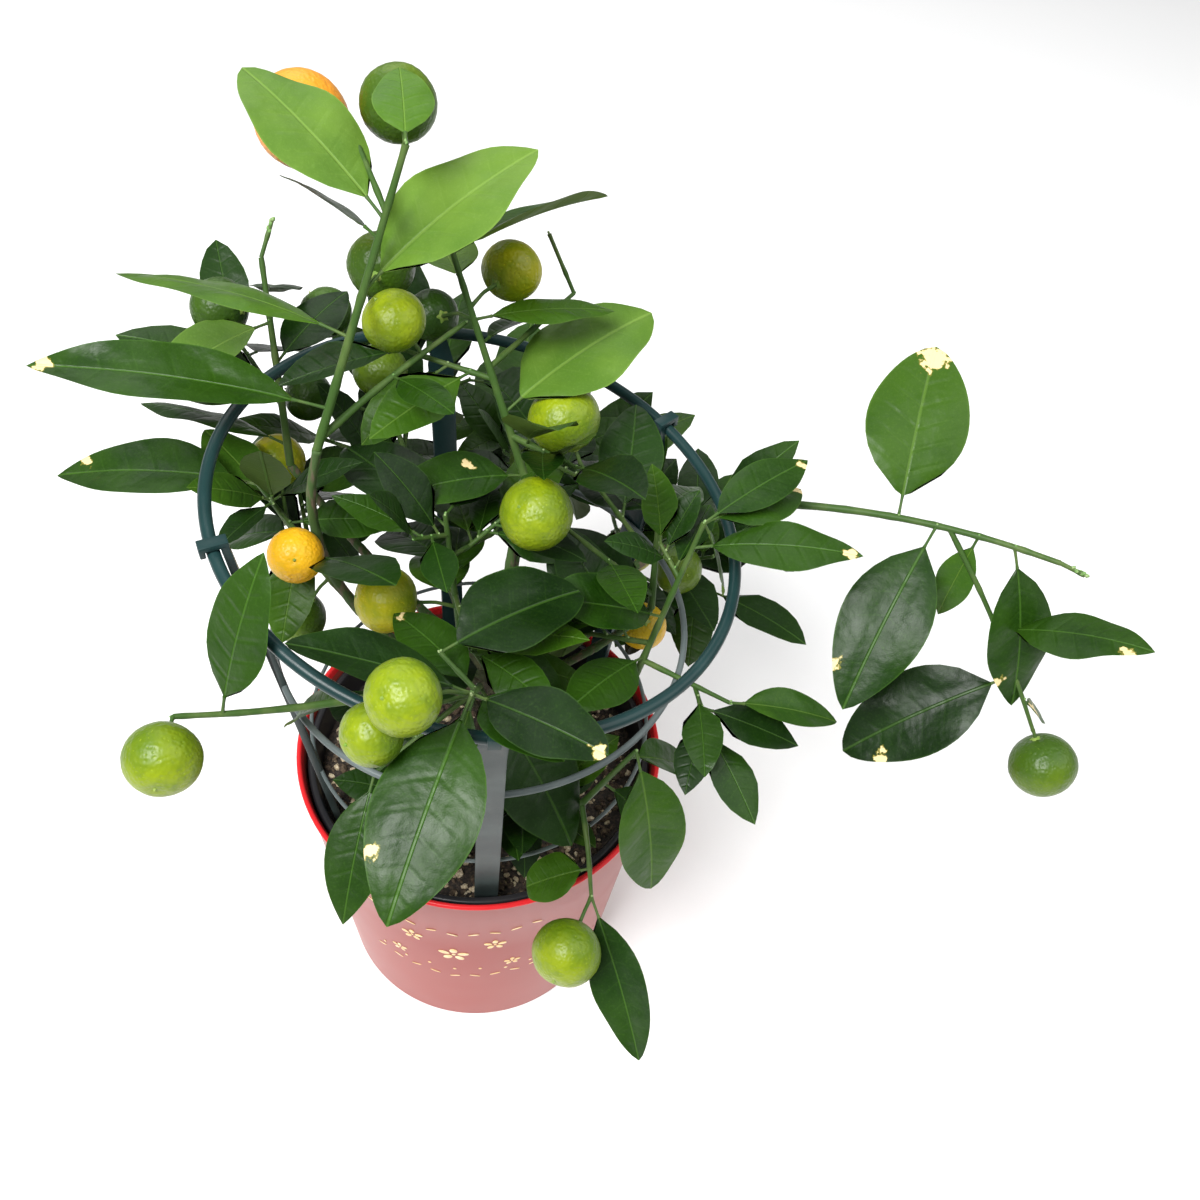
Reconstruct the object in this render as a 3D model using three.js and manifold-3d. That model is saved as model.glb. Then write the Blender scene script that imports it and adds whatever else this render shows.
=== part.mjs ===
/**
 * Calamondin orange tree in a pot.
 *
 * A small many-stemmed citrus with round fruits, grown in a black nursery pot inside a
 * red cover pot and held together by a ring trellis of four uprights and three hoops.
 * Millimetres, +Z up; the origin is the centre of the cover pot's flat underside and
 * the front of the plant faces -Y.
 *
 * A short trunk stands on the soil. Each bough leaves it by a compass turn and a rise,
 * and ends where a mass of foliage begins. A mass is one solid: a stem, the twigs that
 * branch from it, and leaves and fruits sunk into them. Some leaves have a stated
 * heading, and the rest are set round their twig by the golden angle with a seeded draw.
 * A part that would leave the mass's space, or come near anything already there, is left
 * out, after a drawn leaf has been turned on round its twig a few times.
 */
import * as THREE from 'three';
import { mergeVertices } from 'three/addons/utils/BufferGeometryUtils.js';
import Module from 'manifold-3d';

const wasm = await Module();
wasm.setup();
const { Manifold, Mesh: SolidMesh } = wasm;

// ---------------------------------------------------------------- driving dimensions

const CLEARANCE = 0.3;            // gap between neighbouring solids
const AIR = 0.8;                  // least gap from a leaf, twig or fruit to what isn't its own
const SPREAD = 95;                // how far from its stem a mass reaches, where its plan doesn't say

const COVER = {
  height: 155, rimRadius: 82.5, bodyTop: 81, foot: 67.8, band: 8, wall: 1.6, floor: 3, edge: 0.8, sides: 36,
};
const NURSERY = {
  top: 150.5, rimRadius: 77.9, bodyTop: 75.6, foot: 62, lip: 4, wall: 1.4, edge: 0.5, sides: 32,
};
const SOIL = { level: 138, fall: 3, shoulder: 12 };

const TRELLIS = {
  footRadius: 69.5, hoopRadius: 95, hoopHeight: 308, hoopTilt: 10.8,
  upright: { width: 10, thick: 3, hookThick: 2.4, lip: 2 },
  turns: { front: -79, left: -150, back: 110, right: 48 },
  top: { wire: 2.3, around: 6, steps: 32 },
  middle: { height: 246, wire: 1.7, around: 5, steps: 28 },
  bottom: { height: 180, wire: 1.2, around: 4, steps: 26 },
  notch: 0.4,
};

const TRUNK = {
  x: 3, y: 6, leanX: 3, leanY: 3.4, top: 205, foot: 8.2, tip: 5.6, flare: 4.3, flareEnd: 0.2, sides: 8,
  stations: [-0.05, 0.06, 0.14, 0.3, 0.65, 1],
};
const BOUGH = { sides: 6, step: 20 };
const TWIG = { taper: 0.62, sides: 3, step: 22, thinner: 0.85, finest: 0.8 };
const FRUIT = { stalk: 0.9, squash: 0.93, around: 8, down: 5 };

/** Leaf sizes are shares of the leaf's length, but for the width where its stalk enters the blade. */
const LEAF = { wide: 0.45, thick: 0.02, thinnest: 1, fold: 6, droop: 24, root: 1.2 };

/** Half-width of the blade, as a share of its widest, at even steps between its root and its tip. */
const BLADE_OUTLINE = [0.66, 1, 0.74];

/** A drawn leaf heads outward, ahead (more so at the tip of its twig) and a little down. */
const DRAWN = { out: 0.85, ahead: 0.55, lead: 1.2, down: 0.1, least: 0.8, range: 0.4, roll: 30 };
const GOLDEN_ANGLE = 137.5;
const TRIES = 6;                  // places tried for a drawn leaf before it is left out
const NEXT_TRY = { turn: 50, shorter: 0.06 };

const FINISHES = {
  coverPot: { color: 0xd0555a, roughness: 0.25 },
  nurseryPot: { color: 0x17161a, roughness: 0.5 },
  soil: { color: 0x2b211b, roughness: 0.95 },
  trellis: { color: 0x1d4a44, roughness: 0.4 },
  trunk: { color: 0x6b6a3c, roughness: 0.85 },
  bough: { color: 0x4f7034, roughness: 0.75 },
  foliage: { color: 0x2f6a22, roughness: 0.45 },
};

// ---------------------------------------------------------------- the plan of the tree

/** A leaf: place along its twig from 0 to 1, compass turn and rise in degrees, length with stalk. */
const leaf = (at, turn, rise, length, options = {}) => ({ at, turn, rise, length, ...options });

/** A fruit: place along its twig, turn and rise of its stalk, distance to its centre, diameter. */
const fruit = (at, turn, rise, reach, size) => ({ at, turn, rise, reach, size });

/** A twig: place along its parent, mean turn and rise, reach; `drawn` leaves follow the seeded rule. */
const twig = (at, turn, rise, reach, parts = {}) => ({ at, turn, rise, reach, ...parts });

/** A bough leaves the trunk at height `from`; `bend` and `sway` are its change of rise and turn. */
const BOUGHS = {
  left_leader: { from: 184, turn: -173, rise: 66, reach: 172, bend: 80, foot: 2.7, tip: 1.7 },
  centre_leader: { from: 205, turn: 71, rise: 79, reach: 97, bend: -16, foot: 2.5, tip: 1.7 },
  inner: { from: 192, turn: -130, rise: 66, reach: 50, bend: 40, foot: 2, tip: 1.5 },
  left_rear: { from: 196, turn: 165, rise: 45, reach: 128, bend: 22, foot: 2.3, tip: 1.6 },
  left_mid: { from: 171, turn: 172, rise: 42, reach: 96, bend: 30, foot: 2.1, tip: 1.5 },
  left_low: { from: 170, turn: -114, rise: 53, reach: 142, bend: -10, foot: 2.1, tip: 1.5 },
  front: { from: 180, turn: -91, rise: 58, reach: 78, bend: 20, foot: 2.2, tip: 1.5 },
  front_low: { from: 152, turn: -84, rise: 34, reach: 46, bend: 10, foot: 1.9, tip: 1.4 },
  front_right: { from: 167, turn: -57, rise: 24, reach: 84, bend: -10, foot: 2.1, tip: 1.5 },
  right_side: { from: 175, turn: -20, rise: 46, reach: 92, bend: 30, foot: 2.2, tip: 1.5 },
  right_leader: { from: 184, turn: 2, rise: 48, reach: 93, bend: 24, foot: 2.3, tip: 1.6 },
  right_arm: { from: 194, turn: 22, rise: 42, reach: 134, bend: -24, foot: 2.4, tip: 1.7 },
  back_right: { from: 166, turn: 60, rise: 24, reach: 86, bend: 0, foot: 2, tip: 1.5 },
  back_centre: { from: 186, turn: 88, rise: 36, reach: 74, bend: -10, foot: 2, tip: 1.5 },
  back_left: { from: 174, turn: 128, rise: 48, reach: 92, bend: 14, foot: 2.1, tip: 1.5 },
};

/** Each mass grows from the tip of its bough: its own stem, then what stands on it. */
const MASSES = {
  top_left: {
    bough: 'left_leader', seed: 11, spread: 110, stem: { turn: 48, rise: 67, reach: 111 },
    leaves: [
      leaf(0.15, -177, 4, 102, { wide: 0.26, roll: -6 }),
      leaf(0.4, 166, -2, 90, { wide: 0.29, roll: 25 }),
      leaf(0.55, 44, 23, 76, { wide: 0.5 }),
      leaf(0.72, 137, -8, 60, { wide: 0.32, roll: 40 }),
      leaf(0.78, 142, 17, 72, { wide: 0.44 }),
      leaf(1, 104, 9, 36, { wide: 0.54 }),
    ],
    fruits: [fruit(0.45, 93, -16, 54, 25), fruit(1, 105, -15, 46, 26)],
    twigs: [
      twig(0.8, 121, 11, 50, { bend: -30, fruits: [fruit(1, 150, -35, 20, 33)] }),
      twig(0.04, 49, 16, 68, {
        bend: -12, fruits: [fruit(0.7, 177, 53, 16, 23)],
        leaves: [leaf(0.5, -40, 10, 34)],
      }),
    ],
  },
  top_centre: {
    bough: 'centre_leader', seed: 23, stem: { turn: 136, rise: 59, reach: 91 },
    leaves: [
      leaf(0.02, -158, -2, 52, { wide: 0.5 }), leaf(0.3, 44, 14, 72, { wide: 0.56 }),
      leaf(0.6, 66, -18, 44, { wide: 0.3, roll: -20 }),
      leaf(0.7, 22, -4, 54, { wide: 0.36, roll: -10 }),
      leaf(0.85, 112, -16, 48, { wide: 0.5 }),
      leaf(0.97, 45, -2, 72, { wide: 0.32, roll: -36 }),
    ],
    fruits: [fruit(0.75, 65, 0, 27, 23), fruit(0.7, 130, -32, 36, 20)],
    twigs: [
      twig(0.5, 60, 4, 52, { twigs: [twig(1, 140, 50, 24)] }),
      twig(0.45, 175, 10, 34, { drawn: 4, size: 54 }), twig(0.2, -30, 5, 30, { drawn: 4, size: 54 }),
    ],
  },
  centre: {
    bough: 'inner', seed: 31, stem: { turn: 131, rise: 81, reach: 66 },
    leaves: [
      leaf(0.2, 8, 2, 60, { wide: 0.55 }),
      leaf(0.35, 112, -26, 55), leaf(0.5, 97, -22, 50), leaf(0.62, 132, -30, 62),
      leaf(0.92, 138, -8, 66), leaf(1, 78, -19, 50),
    ],
    fruits: [fruit(0.3, -166, 15, 28, 26), fruit(0.05, -12, -30, 26, 22)],
    twigs: [
      twig(0.4, -70, 12, 34, { drawn: 4, size: 56 }), twig(0.7, 60, -20, 28, { drawn: 4, size: 54 }),
      twig(0.1, -52, 0, 34, { drawn: 4, size: 54 }),
    ],
  },
  left_upper: {
    bough: 'left_rear', seed: 41, stem: { turn: 109, rise: 58, reach: 79 },
    leaves: [
      leaf(0.1, 171, 3, 62, { wide: 0.36, roll: 30 }),
      leaf(0.35, -178, -6, 46), leaf(0.7, -137, -14, 52, { wide: 0.5 }),
      leaf(0.85, 100, -38, 46), leaf(0.5, 68, 5, 48),
    ],
    fruits: [fruit(0.75, 167, -13, 22, 23)],
    twigs: [twig(0.3, 130, 5, 40, { drawn: 4, size: 52 }), twig(1, 70, 50, 14)],
  },
  left_mid: {
    bough: 'left_mid', seed: 47, stem: { turn: -173, rise: 68, reach: 65 },
    leaves: [leaf(0.95, -179, -6, 80, { wide: 0.38 }), leaf(0.8, 139, 5, 46), leaf(0.5, 160, -35, 48)],
    fruits: [fruit(0.6, 111, 4, 33, 22.5), fruit(0.45, -74, 38, 37, 21), fruit(0.05, -150, -50, 24, 24.5)],
    twigs: [twig(0.3, 112, 12, 30, { drawn: 4, size: 50 }), twig(0.7, -45, 1, 30, { drawn: 4, size: 54 })],
  },
  left_low: {
    bough: 'left_low', seed: 53, spread: 115, stem: { turn: -156, rise: 12, reach: 62, bend: 12 },
    leaves: [leaf(0.75, 61, 62, 62, { wide: 0.4 }), leaf(0.1, 155, -53, 46)],
    fruits: [fruit(1, -84, 0, 16, 25)],
  },
  front_centre: {
    bough: 'front', seed: 61, spread: 105, stem: { turn: -84, rise: 53, reach: 89 },
    leaves: [
      leaf(0.1, -39, -43, 75, { wide: 0.5 }), leaf(0.24, -102, -47, 72, { wide: 0.32, roll: 15 }),
      leaf(0.5, 137, -7, 50, { wide: 0.42 }), leaf(0.95, -24, 7, 50, { wide: 0.5 }),
      leaf(1, -102, -22, 75, { wide: 0.47, droop: 30 }),
      leaf(0.9, -173, 23, 62, { wide: 0.46, roll: 20 }), leaf(0.85, -40, 13, 44, { wide: 0.55 }),
    ],
    fruits: [fruit(0.95, -128, 43, 37, 23.5), fruit(0.9, -136, 14, 38, 20.5)],
    twigs: [
      twig(0.5, 148, 24, 18, { leaves: [leaf(1, 37, 2, 57, { wide: 0.62 })] }),
      twig(0.12, -139, -25, 50, { leaves: [leaf(1, -97, -43, 60, { wide: 0.38 }), leaf(0.6, 152, -16, 46)] }),
    ],
  },
  front_low: {
    bough: 'front_low', seed: 67, stem: { turn: -60, rise: 40, reach: 24 },
    twigs: [twig(0.6, -150, 10, 30, { drawn: 3, size: 42 }), twig(1, -20, 20, 26, { drawn: 3, size: 44 })],
  },
  front_right: {
    bough: 'front_right', seed: 71, spread: 115, stem: { turn: 0, rise: 68, reach: 54 },
    leaves: [leaf(1, -57, -68, 70, { wide: 0.42 }), leaf(0.9, 30, -42, 40), leaf(0.5, -17, -41, 44)],
    twigs: [
      twig(0.15, -75, -29, 37, {
        bend: -50, leaves: [leaf(0.7, -170, -30, 28, { wide: 0.75 }), leaf(1, -59, -41, 70, { wide: 0.32, roll: 35 })],
        fruits: [fruit(1, -107, -7, 24, 27)],
      }),
    ],
  },
  right_shoulder: {
    bough: 'right_side', seed: 73, stem: { turn: 48, rise: 72, reach: 76 },
    leaves: [
      leaf(1, 45, 2, 54, { wide: 0.38 }), leaf(1, 42, -11, 52, { wide: 0.44 }),
      leaf(0.85, -6, 13, 62, { wide: 0.38 }), leaf(1, 10, -72, 44, { wide: 0.4 }),
      leaf(0.12, -124, 16, 50, { wide: 0.46 }), leaf(0.4, -164, 20, 50, { wide: 0.56 }),
    ],
    twigs: [
      twig(0.1, -30, 9, 40, { leaves: [leaf(1, 10, -18, 48, { wide: 0.36 })] }),
      twig(0.22, 165, -16, 36, { drawn: 4, size: 52 }),
    ],
  },
  upper_right: {
    bough: 'right_leader', seed: 79, stem: { turn: 96, rise: 59, reach: 39 },
    leaves: [
      leaf(0.1, 151, 0, 60, { wide: 0.5 }),
      leaf(1, 66, -25, 46, { wide: 0.36 }), leaf(1, 140, -20, 46),
    ],
    fruits: [fruit(0.05, 94, -66, 37, 20.5)],
    twigs: [
      twig(0.5, 159, 45, 51, {
        fruits: [fruit(1, 129, 43, 18, 28)], leaves: [leaf(0.45, 90, 18, 52, { wide: 0.5 })],
      }),
      twig(0.15, -170, 47, 57, { fruits: [fruit(1, -136, 47, 18, 27)], leaves: [leaf(0.5, -70, 20, 40)] }),
    ],
  },
  right_reach: {
    bough: 'right_arm', seed: 83, spread: 130, stem: { turn: -15, rise: 10, reach: 124, bend: -8, sway: -22 },
    leaves: [
      leaf(0.5, 82, 31, 72, { wide: 0.56 }), leaf(0.62, -115, -37, 80, { wide: 0.43 }),
      leaf(0.75, -126, -80, 42, { wide: 0.36 }), leaf(0.86, -64, -60, 68, { wide: 0.44 }),
    ],
    twigs: [
      twig(0.66, -43, -43, 90, {
        bend: -14, fruits: [fruit(1, -49, -47, 16, 27)],
        leaves: [
          leaf(0.5, -30, 30, 60, { wide: 0.42 }), leaf(0.72, -166, -38, 76, { wide: 0.46, roll: -25 }),
          leaf(0.85, 17, -49, 24),
        ],
      }),
      twig(1, -40, 10, 10),
    ],
  },
  back_left: {
    bough: 'back_left', seed: 89, stem: { turn: 128, rise: 48, reach: 58 },
    fruits: [fruit(1, 154, 42, 36, 22), fruit(0.8, -91, 70, 33, 22), fruit(0.7, -177, 17, 37, 21)],
    twigs: [
      twig(0.35, 165, 0, 46, { drawn: 5, size: 56 }), twig(0.5, 95, 5, 46, { drawn: 5, size: 56 }),
      twig(0.15, 140, -41, 44, { drawn: 4, size: 52 }), twig(0.8, 30, 10, 36, { drawn: 3, size: 50 }),
    ],
  },
  back_centre: {
    bough: 'back_centre', seed: 97, stem: { turn: 90, rise: 6, reach: 44 },
    fruits: [fruit(0.9, 100, -60, 34, 25)],
    twigs: [
      twig(0.3, 140, -10, 40, { drawn: 4, size: 54 }), twig(0.4, 45, -10, 40, { drawn: 4, size: 54 }),
      twig(0.9, 110, -15, 36, { drawn: 4, size: 54 }), twig(0.2, 70, 12, 36, { drawn: 4, size: 48 }),
    ],
  },
  back_right: {
    bough: 'back_right', seed: 101, stem: { turn: 30, rise: 10, reach: 42 },
    fruits: [fruit(0.5, -60, 32, 40, 22), fruit(0.5, 100, -50, 30, 24)],
    twigs: [
      twig(0.3, 104, -12, 40, { drawn: 4, size: 52 }), twig(0.6, -20, -22, 38, { drawn: 4, size: 50 }),
      twig(0.95, 44, -14, 34, { drawn: 5, size: 50 }), twig(0.1, 20, -40, 34, { drawn: 3, size: 48 }),
    ],
  },
};

// ---------------------------------------------------------------- headings and courses

const rad = THREE.MathUtils.degToRad;

/** The unit vector at a compass turn from +X and a rise above the level. */
function heading(turn, rise) {
  const flat = Math.cos(rad(rise));
  return new THREE.Vector3(flat * Math.cos(rad(turn)), flat * Math.sin(rad(turn)), Math.sin(rad(rise)));
}

/** The turn and rise of a vector, in degrees. */
function bearing(vector) {
  const unit = vector.clone().normalize();
  return {
    turn: THREE.MathUtils.radToDeg(Math.atan2(unit.y, unit.x)),
    rise: THREE.MathUtils.radToDeg(Math.asin(unit.z)),
  };
}

/** A unit vector turned by an angle towards another at right angles to it. */
function swing(from, towards, angle) {
  return from.clone().multiplyScalar(Math.cos(rad(angle))).addScaledVector(towards, Math.sin(rad(angle)));
}

/** The points of a limb whose rise changes by `bend` and whose turn changes by `sway` on the way. */
function course(start, { turn, rise, reach, bend = 0, sway = 0 }, steps) {
  const points = [start.clone()];
  for (let step = 0; step < steps; step += 1) {
    const off = (step + 0.5) / steps - 0.5;
    const next = heading(turn + sway * off, rise + bend * off).multiplyScalar(reach / steps);
    points.push(next.add(points[step]));
  }
  return points;
}

/** The point at fraction `at` along a course of even steps. */
function along(points, at) {
  const place = Math.min(Math.max(at, 0), 1) * (points.length - 1);
  const index = Math.min(Math.floor(place), points.length - 2);
  return points[index].clone().lerp(points[index + 1], place - index);
}

/** A repeatable draw of numbers from 0 to 1. */
function draws(seed) {
  let state = (seed * 2654435761) >>> 0;
  return () => {
    state = (Math.imul(state, 1664525) + 1013904223) >>> 0;
    return state / 4294967296;
  };
}

// ---------------------------------------------------------------- solids

/** A three.js geometry as a solid. */
function solidOf(geometry) {
  const bare = geometry.clone();
  bare.deleteAttribute('normal');
  bare.deleteAttribute('uv');
  const merged = mergeVertices(bare, 1e-4);
  const vertProperties = new Float32Array(merged.attributes.position.array);
  const triVerts = new Uint32Array(merged.index.array);
  return new Manifold(new SolidMesh({ numProp: 3, vertProperties, triVerts }));
}

/** A solid as a three.js geometry. */
function geometryOf(solid) {
  const { vertProperties, triVerts } = solid.getMesh();
  const geometry = new THREE.BufferGeometry();
  geometry.setAttribute('position', new THREE.BufferAttribute(vertProperties, 3));
  geometry.setIndex(new THREE.BufferAttribute(triVerts, 1));
  geometry.computeVertexNormals();
  return geometry;
}

/** The largest connected piece of a solid. */
function largest(solid) {
  return solid.decompose().sort((a, b) => b.volume() - a.volume())[0];
}

/** A closed skin over rings of equal count, anticlockwise seen from ahead; a ring of one point is a tip. */
function skin(rings) {
  const corners = rings.flat();
  const faces = [];
  let base = 0;
  for (let k = 0; k + 1 < rings.length; k += 1) {
    const [here, ahead] = [rings[k].length, rings[k + 1].length];
    const next = base + here;
    const count = Math.max(here, ahead);
    for (let i = 0; i < count; i += 1) {
      const j = (i + 1) % count;
      if (here > 1) faces.push(base + i, base + j, next + (ahead > 1 ? j : 0));
      if (ahead > 1) faces.push(base + (here > 1 ? i : 0), next + j, next + i);
    }
    base = next;
  }
  for (let i = 1; i + 1 < rings[0].length; i += 1) faces.push(0, i + 1, i);
  for (let i = 1; i + 1 < rings.at(-1).length; i += 1) faces.push(base, base + i, base + i + 1);
  const vertProperties = new Float32Array(corners.flatMap((corner) => corner.toArray()));
  return new Manifold(new SolidMesh({ numProp: 3, vertProperties, triVerts: new Uint32Array(faces) }));
}

/** A tapering limb along a course, with a frame carried from point to point. */
function limb(points, radii, sides) {
  const across = new THREE.Vector3(0, 1, 0);
  const rings = points.map((point, index) => {
    const behind = points[Math.max(index - 1, 0)];
    const ahead = points[Math.min(index + 1, points.length - 1)];
    const tangent = ahead.clone().sub(behind).normalize();
    if (index === 0 && Math.abs(tangent.y) > 0.9) across.set(1, 0, 0);
    const up = tangent.clone().cross(across).normalize();
    across.copy(up).cross(tangent).normalize();
    return Array.from({ length: sides }, (_, side) => {
      const angle = (side * 2 * Math.PI) / sides;
      return point.clone()
        .addScaledVector(across, -radii[index] * Math.cos(angle))
        .addScaledVector(up, -radii[index] * Math.sin(angle));
    });
  });
  return skin(rings);
}

/** A limb whose radius runs evenly from `foot` to `tip`. */
function tapering(points, foot, tip, sides) {
  const radii = points.map((_, index) => THREE.MathUtils.lerp(foot, tip, index / (points.length - 1)));
  return limb(points, radii, sides);
}

// ---------------------------------------------------------------- leaf blades

/** The stations of a leaf from its root to its tip: midrib point, upper side, half-width and edges. */
function blade(root, { turn, rise, length, wide = LEAF.wide, roll = 0, droop = LEAF.droop }) {
  const steps = BLADE_OUTLINE.length + 1;
  const midrib = course(root, { turn, rise, reach: length, bend: -droop }, steps);
  const halves = [LEAF.root, ...BLADE_OUTLINE.map((share) => 0.5 * share * wide * length), 0];
  const level = heading(turn - 90, 0);
  return midrib.map((point, index) => {
    const upright = heading(turn, rise - droop * (index / steps - 0.5) + 90);
    const side = swing(level, upright, -roll);
    const face = swing(upright, level, roll);
    const edge = (sign, half) => point.clone()
      .addScaledVector(side, sign * half * Math.cos(rad(LEAF.fold)))
      .addScaledVector(face, half * Math.sin(rad(LEAF.fold)));
    return { point, face, half: halves[index], edge };
  });
}

/** The closed solid of a leaf: an upper side between sharp edges, and a keel under the midrib. */
function leafSolid(stations, length) {
  const thick = Math.max(LEAF.thick * length, LEAF.thinnest);
  return skin(stations.map(({ point, face, half, edge }) => (half === 0 ? [point] : [
    edge(1, half), point.clone().addScaledVector(face, -thick), edge(-1, half),
  ])));
}

// ---------------------------------------------------------------- what is already there

/** Every solid placed so far, with its owner, its kind and its box. */
const placed = [];

function boxOf(solid) {
  const { min, max } = solid.boundingBox();
  return new THREE.Box3(new THREE.Vector3(...min), new THREE.Vector3(...max));
}

/** Remember a solid, so that what grows later keeps clear of it. */
function place(solid, owner, kind) {
  placed.push({ solid, owner, kind, box: boxOf(solid) });
}

/** The first placed solid, of those that `counts` lets in, that a new one comes too near to. */
function obstacle(solid, counts) {
  const box = boxOf(solid).expandByScalar(AIR);
  const near = (other) => box.intersectsBox(other.box) && solid.minGap(other.solid, AIR) < AIR;
  return placed.find((other) => counts(other) && near(other));
}

// ---------------------------------------------------------------- pot and soil

/** A body turned about the Z axis from a closed profile of (radius, height) pairs. */
function turned(profile, sides) {
  const outline = profile.map(([radius, height]) => new THREE.Vector2(radius, height));
  return solidOf(new THREE.LatheGeometry(outline, sides).rotateX(Math.PI / 2));
}

function coverPot() {
  const { height, rimRadius, bodyTop, foot, band, wall, floor, edge, sides } = COVER;
  return turned([
    [0, 0], [foot - edge, 0], [foot, edge], [bodyTop, height - band], [rimRadius, height - band + edge],
    [rimRadius, height - edge], [rimRadius - edge, height], [bodyTop - wall, height - edge],
    [foot - wall, floor], [0, floor],
  ], sides);
}

function nurseryPot() {
  const { top, rimRadius, bodyTop, foot, lip, wall, edge, sides } = NURSERY;
  const low = COVER.floor + CLEARANCE;
  return turned([
    [0, low], [foot, low], [bodyTop, top - lip], [rimRadius, top - lip + edge], [rimRadius, top - edge],
    [rimRadius - edge, top], [bodyTop - wall, top - edge], [foot - wall, low + wall], [0, low + wall],
  ], sides);
}

/** The root ball fills the nursery pot: flat round the trunk, with a slight fall to the wall. */
function soil() {
  const { top, bodyTop, foot, wall, sides } = NURSERY;
  const low = COVER.floor + wall + 2 * CLEARANCE;
  const brink = SOIL.level - SOIL.fall;
  const wallAt = (z) => THREE.MathUtils.mapLinear(z, low, top, foot, bodyTop) - wall - 2 * CLEARANCE;
  return turned([
    [0, low], [wallAt(low), low], [wallAt(brink), brink], [wallAt(brink) - SOIL.shoulder, SOIL.level],
    [0, SOIL.level],
  ], sides);
}

// ---------------------------------------------------------------- trellis

/** Height of the tilted top hoop at a compass turn. */
function hoopHeightAt(turn) {
  return TRELLIS.hoopHeight - TRELLIS.hoopRadius * Math.cos(rad(turn)) * Math.tan(rad(TRELLIS.hoopTilt));
}

/** Radius of an upright's middle line at a height, on the slope from the soil to the top hoop. */
function uprightRadius(turn, z) {
  const reach = TRELLIS.hoopRadius - TRELLIS.top.wire - TRELLIS.upright.thick / 2 - CLEARANCE;
  return THREE.MathUtils.mapLinear(z, SOIL.level, hoopHeightAt(turn), TRELLIS.footRadius, reach);
}

/** A level hoop is let into the uprights' inner faces at its own height. */
function levelHoop(sizes) {
  return { ...sizes, radius: uprightRadius(90, sizes.height) - TRELLIS.upright.thick / 2, tilt: 0 };
}

const HOOPS = {
  top: { ...TRELLIS.top, radius: TRELLIS.hoopRadius, height: TRELLIS.hoopHeight, tilt: TRELLIS.hoopTilt },
  middle: levelHoop(TRELLIS.middle),
  bottom: levelHoop(TRELLIS.bottom),
};

/** A hoop as a closed ring, level or tilted so that its +X side is lower; `extra` swells its wire. */
function hoop({ radius, wire, height, tilt, around, steps }, extra = 0) {
  const ring = new THREE.TorusGeometry(radius, wire + extra, around, steps);
  ring.scale(1 / Math.cos(rad(tilt)), 1, 1).rotateY(rad(tilt)).translate(0, 0, height);
  return solidOf(ring);
}

/** An upright: a flat strip that leans out from the soil and hooks over the top hoop, notched for all three. */
function upright(turn) {
  const { width, thick, hookThick, lip } = TRELLIS.upright;
  const foot = SOIL.level + CLEARANCE;
  const crest = hoopHeightAt(turn);
  const over = crest + TRELLIS.top.wire + CLEARANCE;
  const beyond = TRELLIS.hoopRadius + TRELLIS.top.wire + CLEARANCE;
  const outline = [
    [TRELLIS.footRadius - thick / 2, foot], [TRELLIS.footRadius + thick / 2, foot],
    [uprightRadius(turn, crest) + thick / 2, over], [beyond, over], [beyond, crest], [beyond + lip, crest],
    [beyond + lip, over + hookThick], [uprightRadius(turn, over) - thick / 2, over + hookThick],
  ];
  const profile = new THREE.Shape(outline.map(([out, z]) => new THREE.Vector2(out, z)));
  const strip = new THREE.ExtrudeGeometry(profile, { depth: width, bevelEnabled: false });
  strip.translate(0, 0, -width / 2).rotateX(Math.PI / 2).rotateZ(rad(turn));
  return Object.values(HOOPS).reduce((body, ring) => body.subtract(hoop(ring, TRELLIS.notch)), solidOf(strip));
}

// ---------------------------------------------------------------- trunk and boughs

/** How far up the trunk a height is, from 0 at the soil to 1 at its fork. */
const upTrunk = (z) => (z - SOIL.level) / (TRUNK.top - SOIL.level);

/** The trunk's middle at a height. */
function trunkAt(z) {
  return new THREE.Vector3(TRUNK.x + TRUNK.leanX * upTrunk(z), TRUNK.y + TRUNK.leanY * upTrunk(z), z);
}

/** The trunk's radius: an even taper, with a root flare that fades out over its foot. */
function trunkRadius(z) {
  const fade = THREE.MathUtils.clamp(1 - upTrunk(z) / TRUNK.flareEnd, 0, 1);
  return THREE.MathUtils.lerp(TRUNK.foot, TRUNK.tip, upTrunk(z)) + TRUNK.flare * fade ** 2;
}

/** The trunk, cut flat where it meets the soil; `extra` swells it evenly to clear what leaves it. */
function trunk(extra = 0) {
  const heights = TRUNK.stations.map((up) => THREE.MathUtils.lerp(SOIL.level, TRUNK.top + extra, up));
  const swollen = limb(heights.map(trunkAt), heights.map((z) => trunkRadius(z) + extra), TRUNK.sides);
  return swollen.trimByPlane([0, 0, 1], SOIL.level + CLEARANCE);
}

/** The middle line of a bough. */
function boughCourse(bough) {
  return course(trunkAt(bough.from), bough, Math.round(bough.reach / BOUGH.step));
}

/** A bough, swollen and lengthened by `extra`. */
function boughBody(bough, extra = 0) {
  const points = boughCourse(bough);
  const [behind, tip] = points.slice(-2);
  tip.add(tip.clone().sub(behind).setLength(extra));
  return tapering(points, bough.foot + extra, bough.tip + extra, BOUGH.sides);
}

/** A bough, cut clear of the trunk that it leaves. */
function boughSolid(bough) {
  return largest(boughBody(bough).subtract(trunk(CLEARANCE)));
}

// ---------------------------------------------------------------- foliage

/** The radius that a twig tapers to. */
const twigTip = (foot) => Math.max(foot * TWIG.taper, TWIG.finest);

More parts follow.
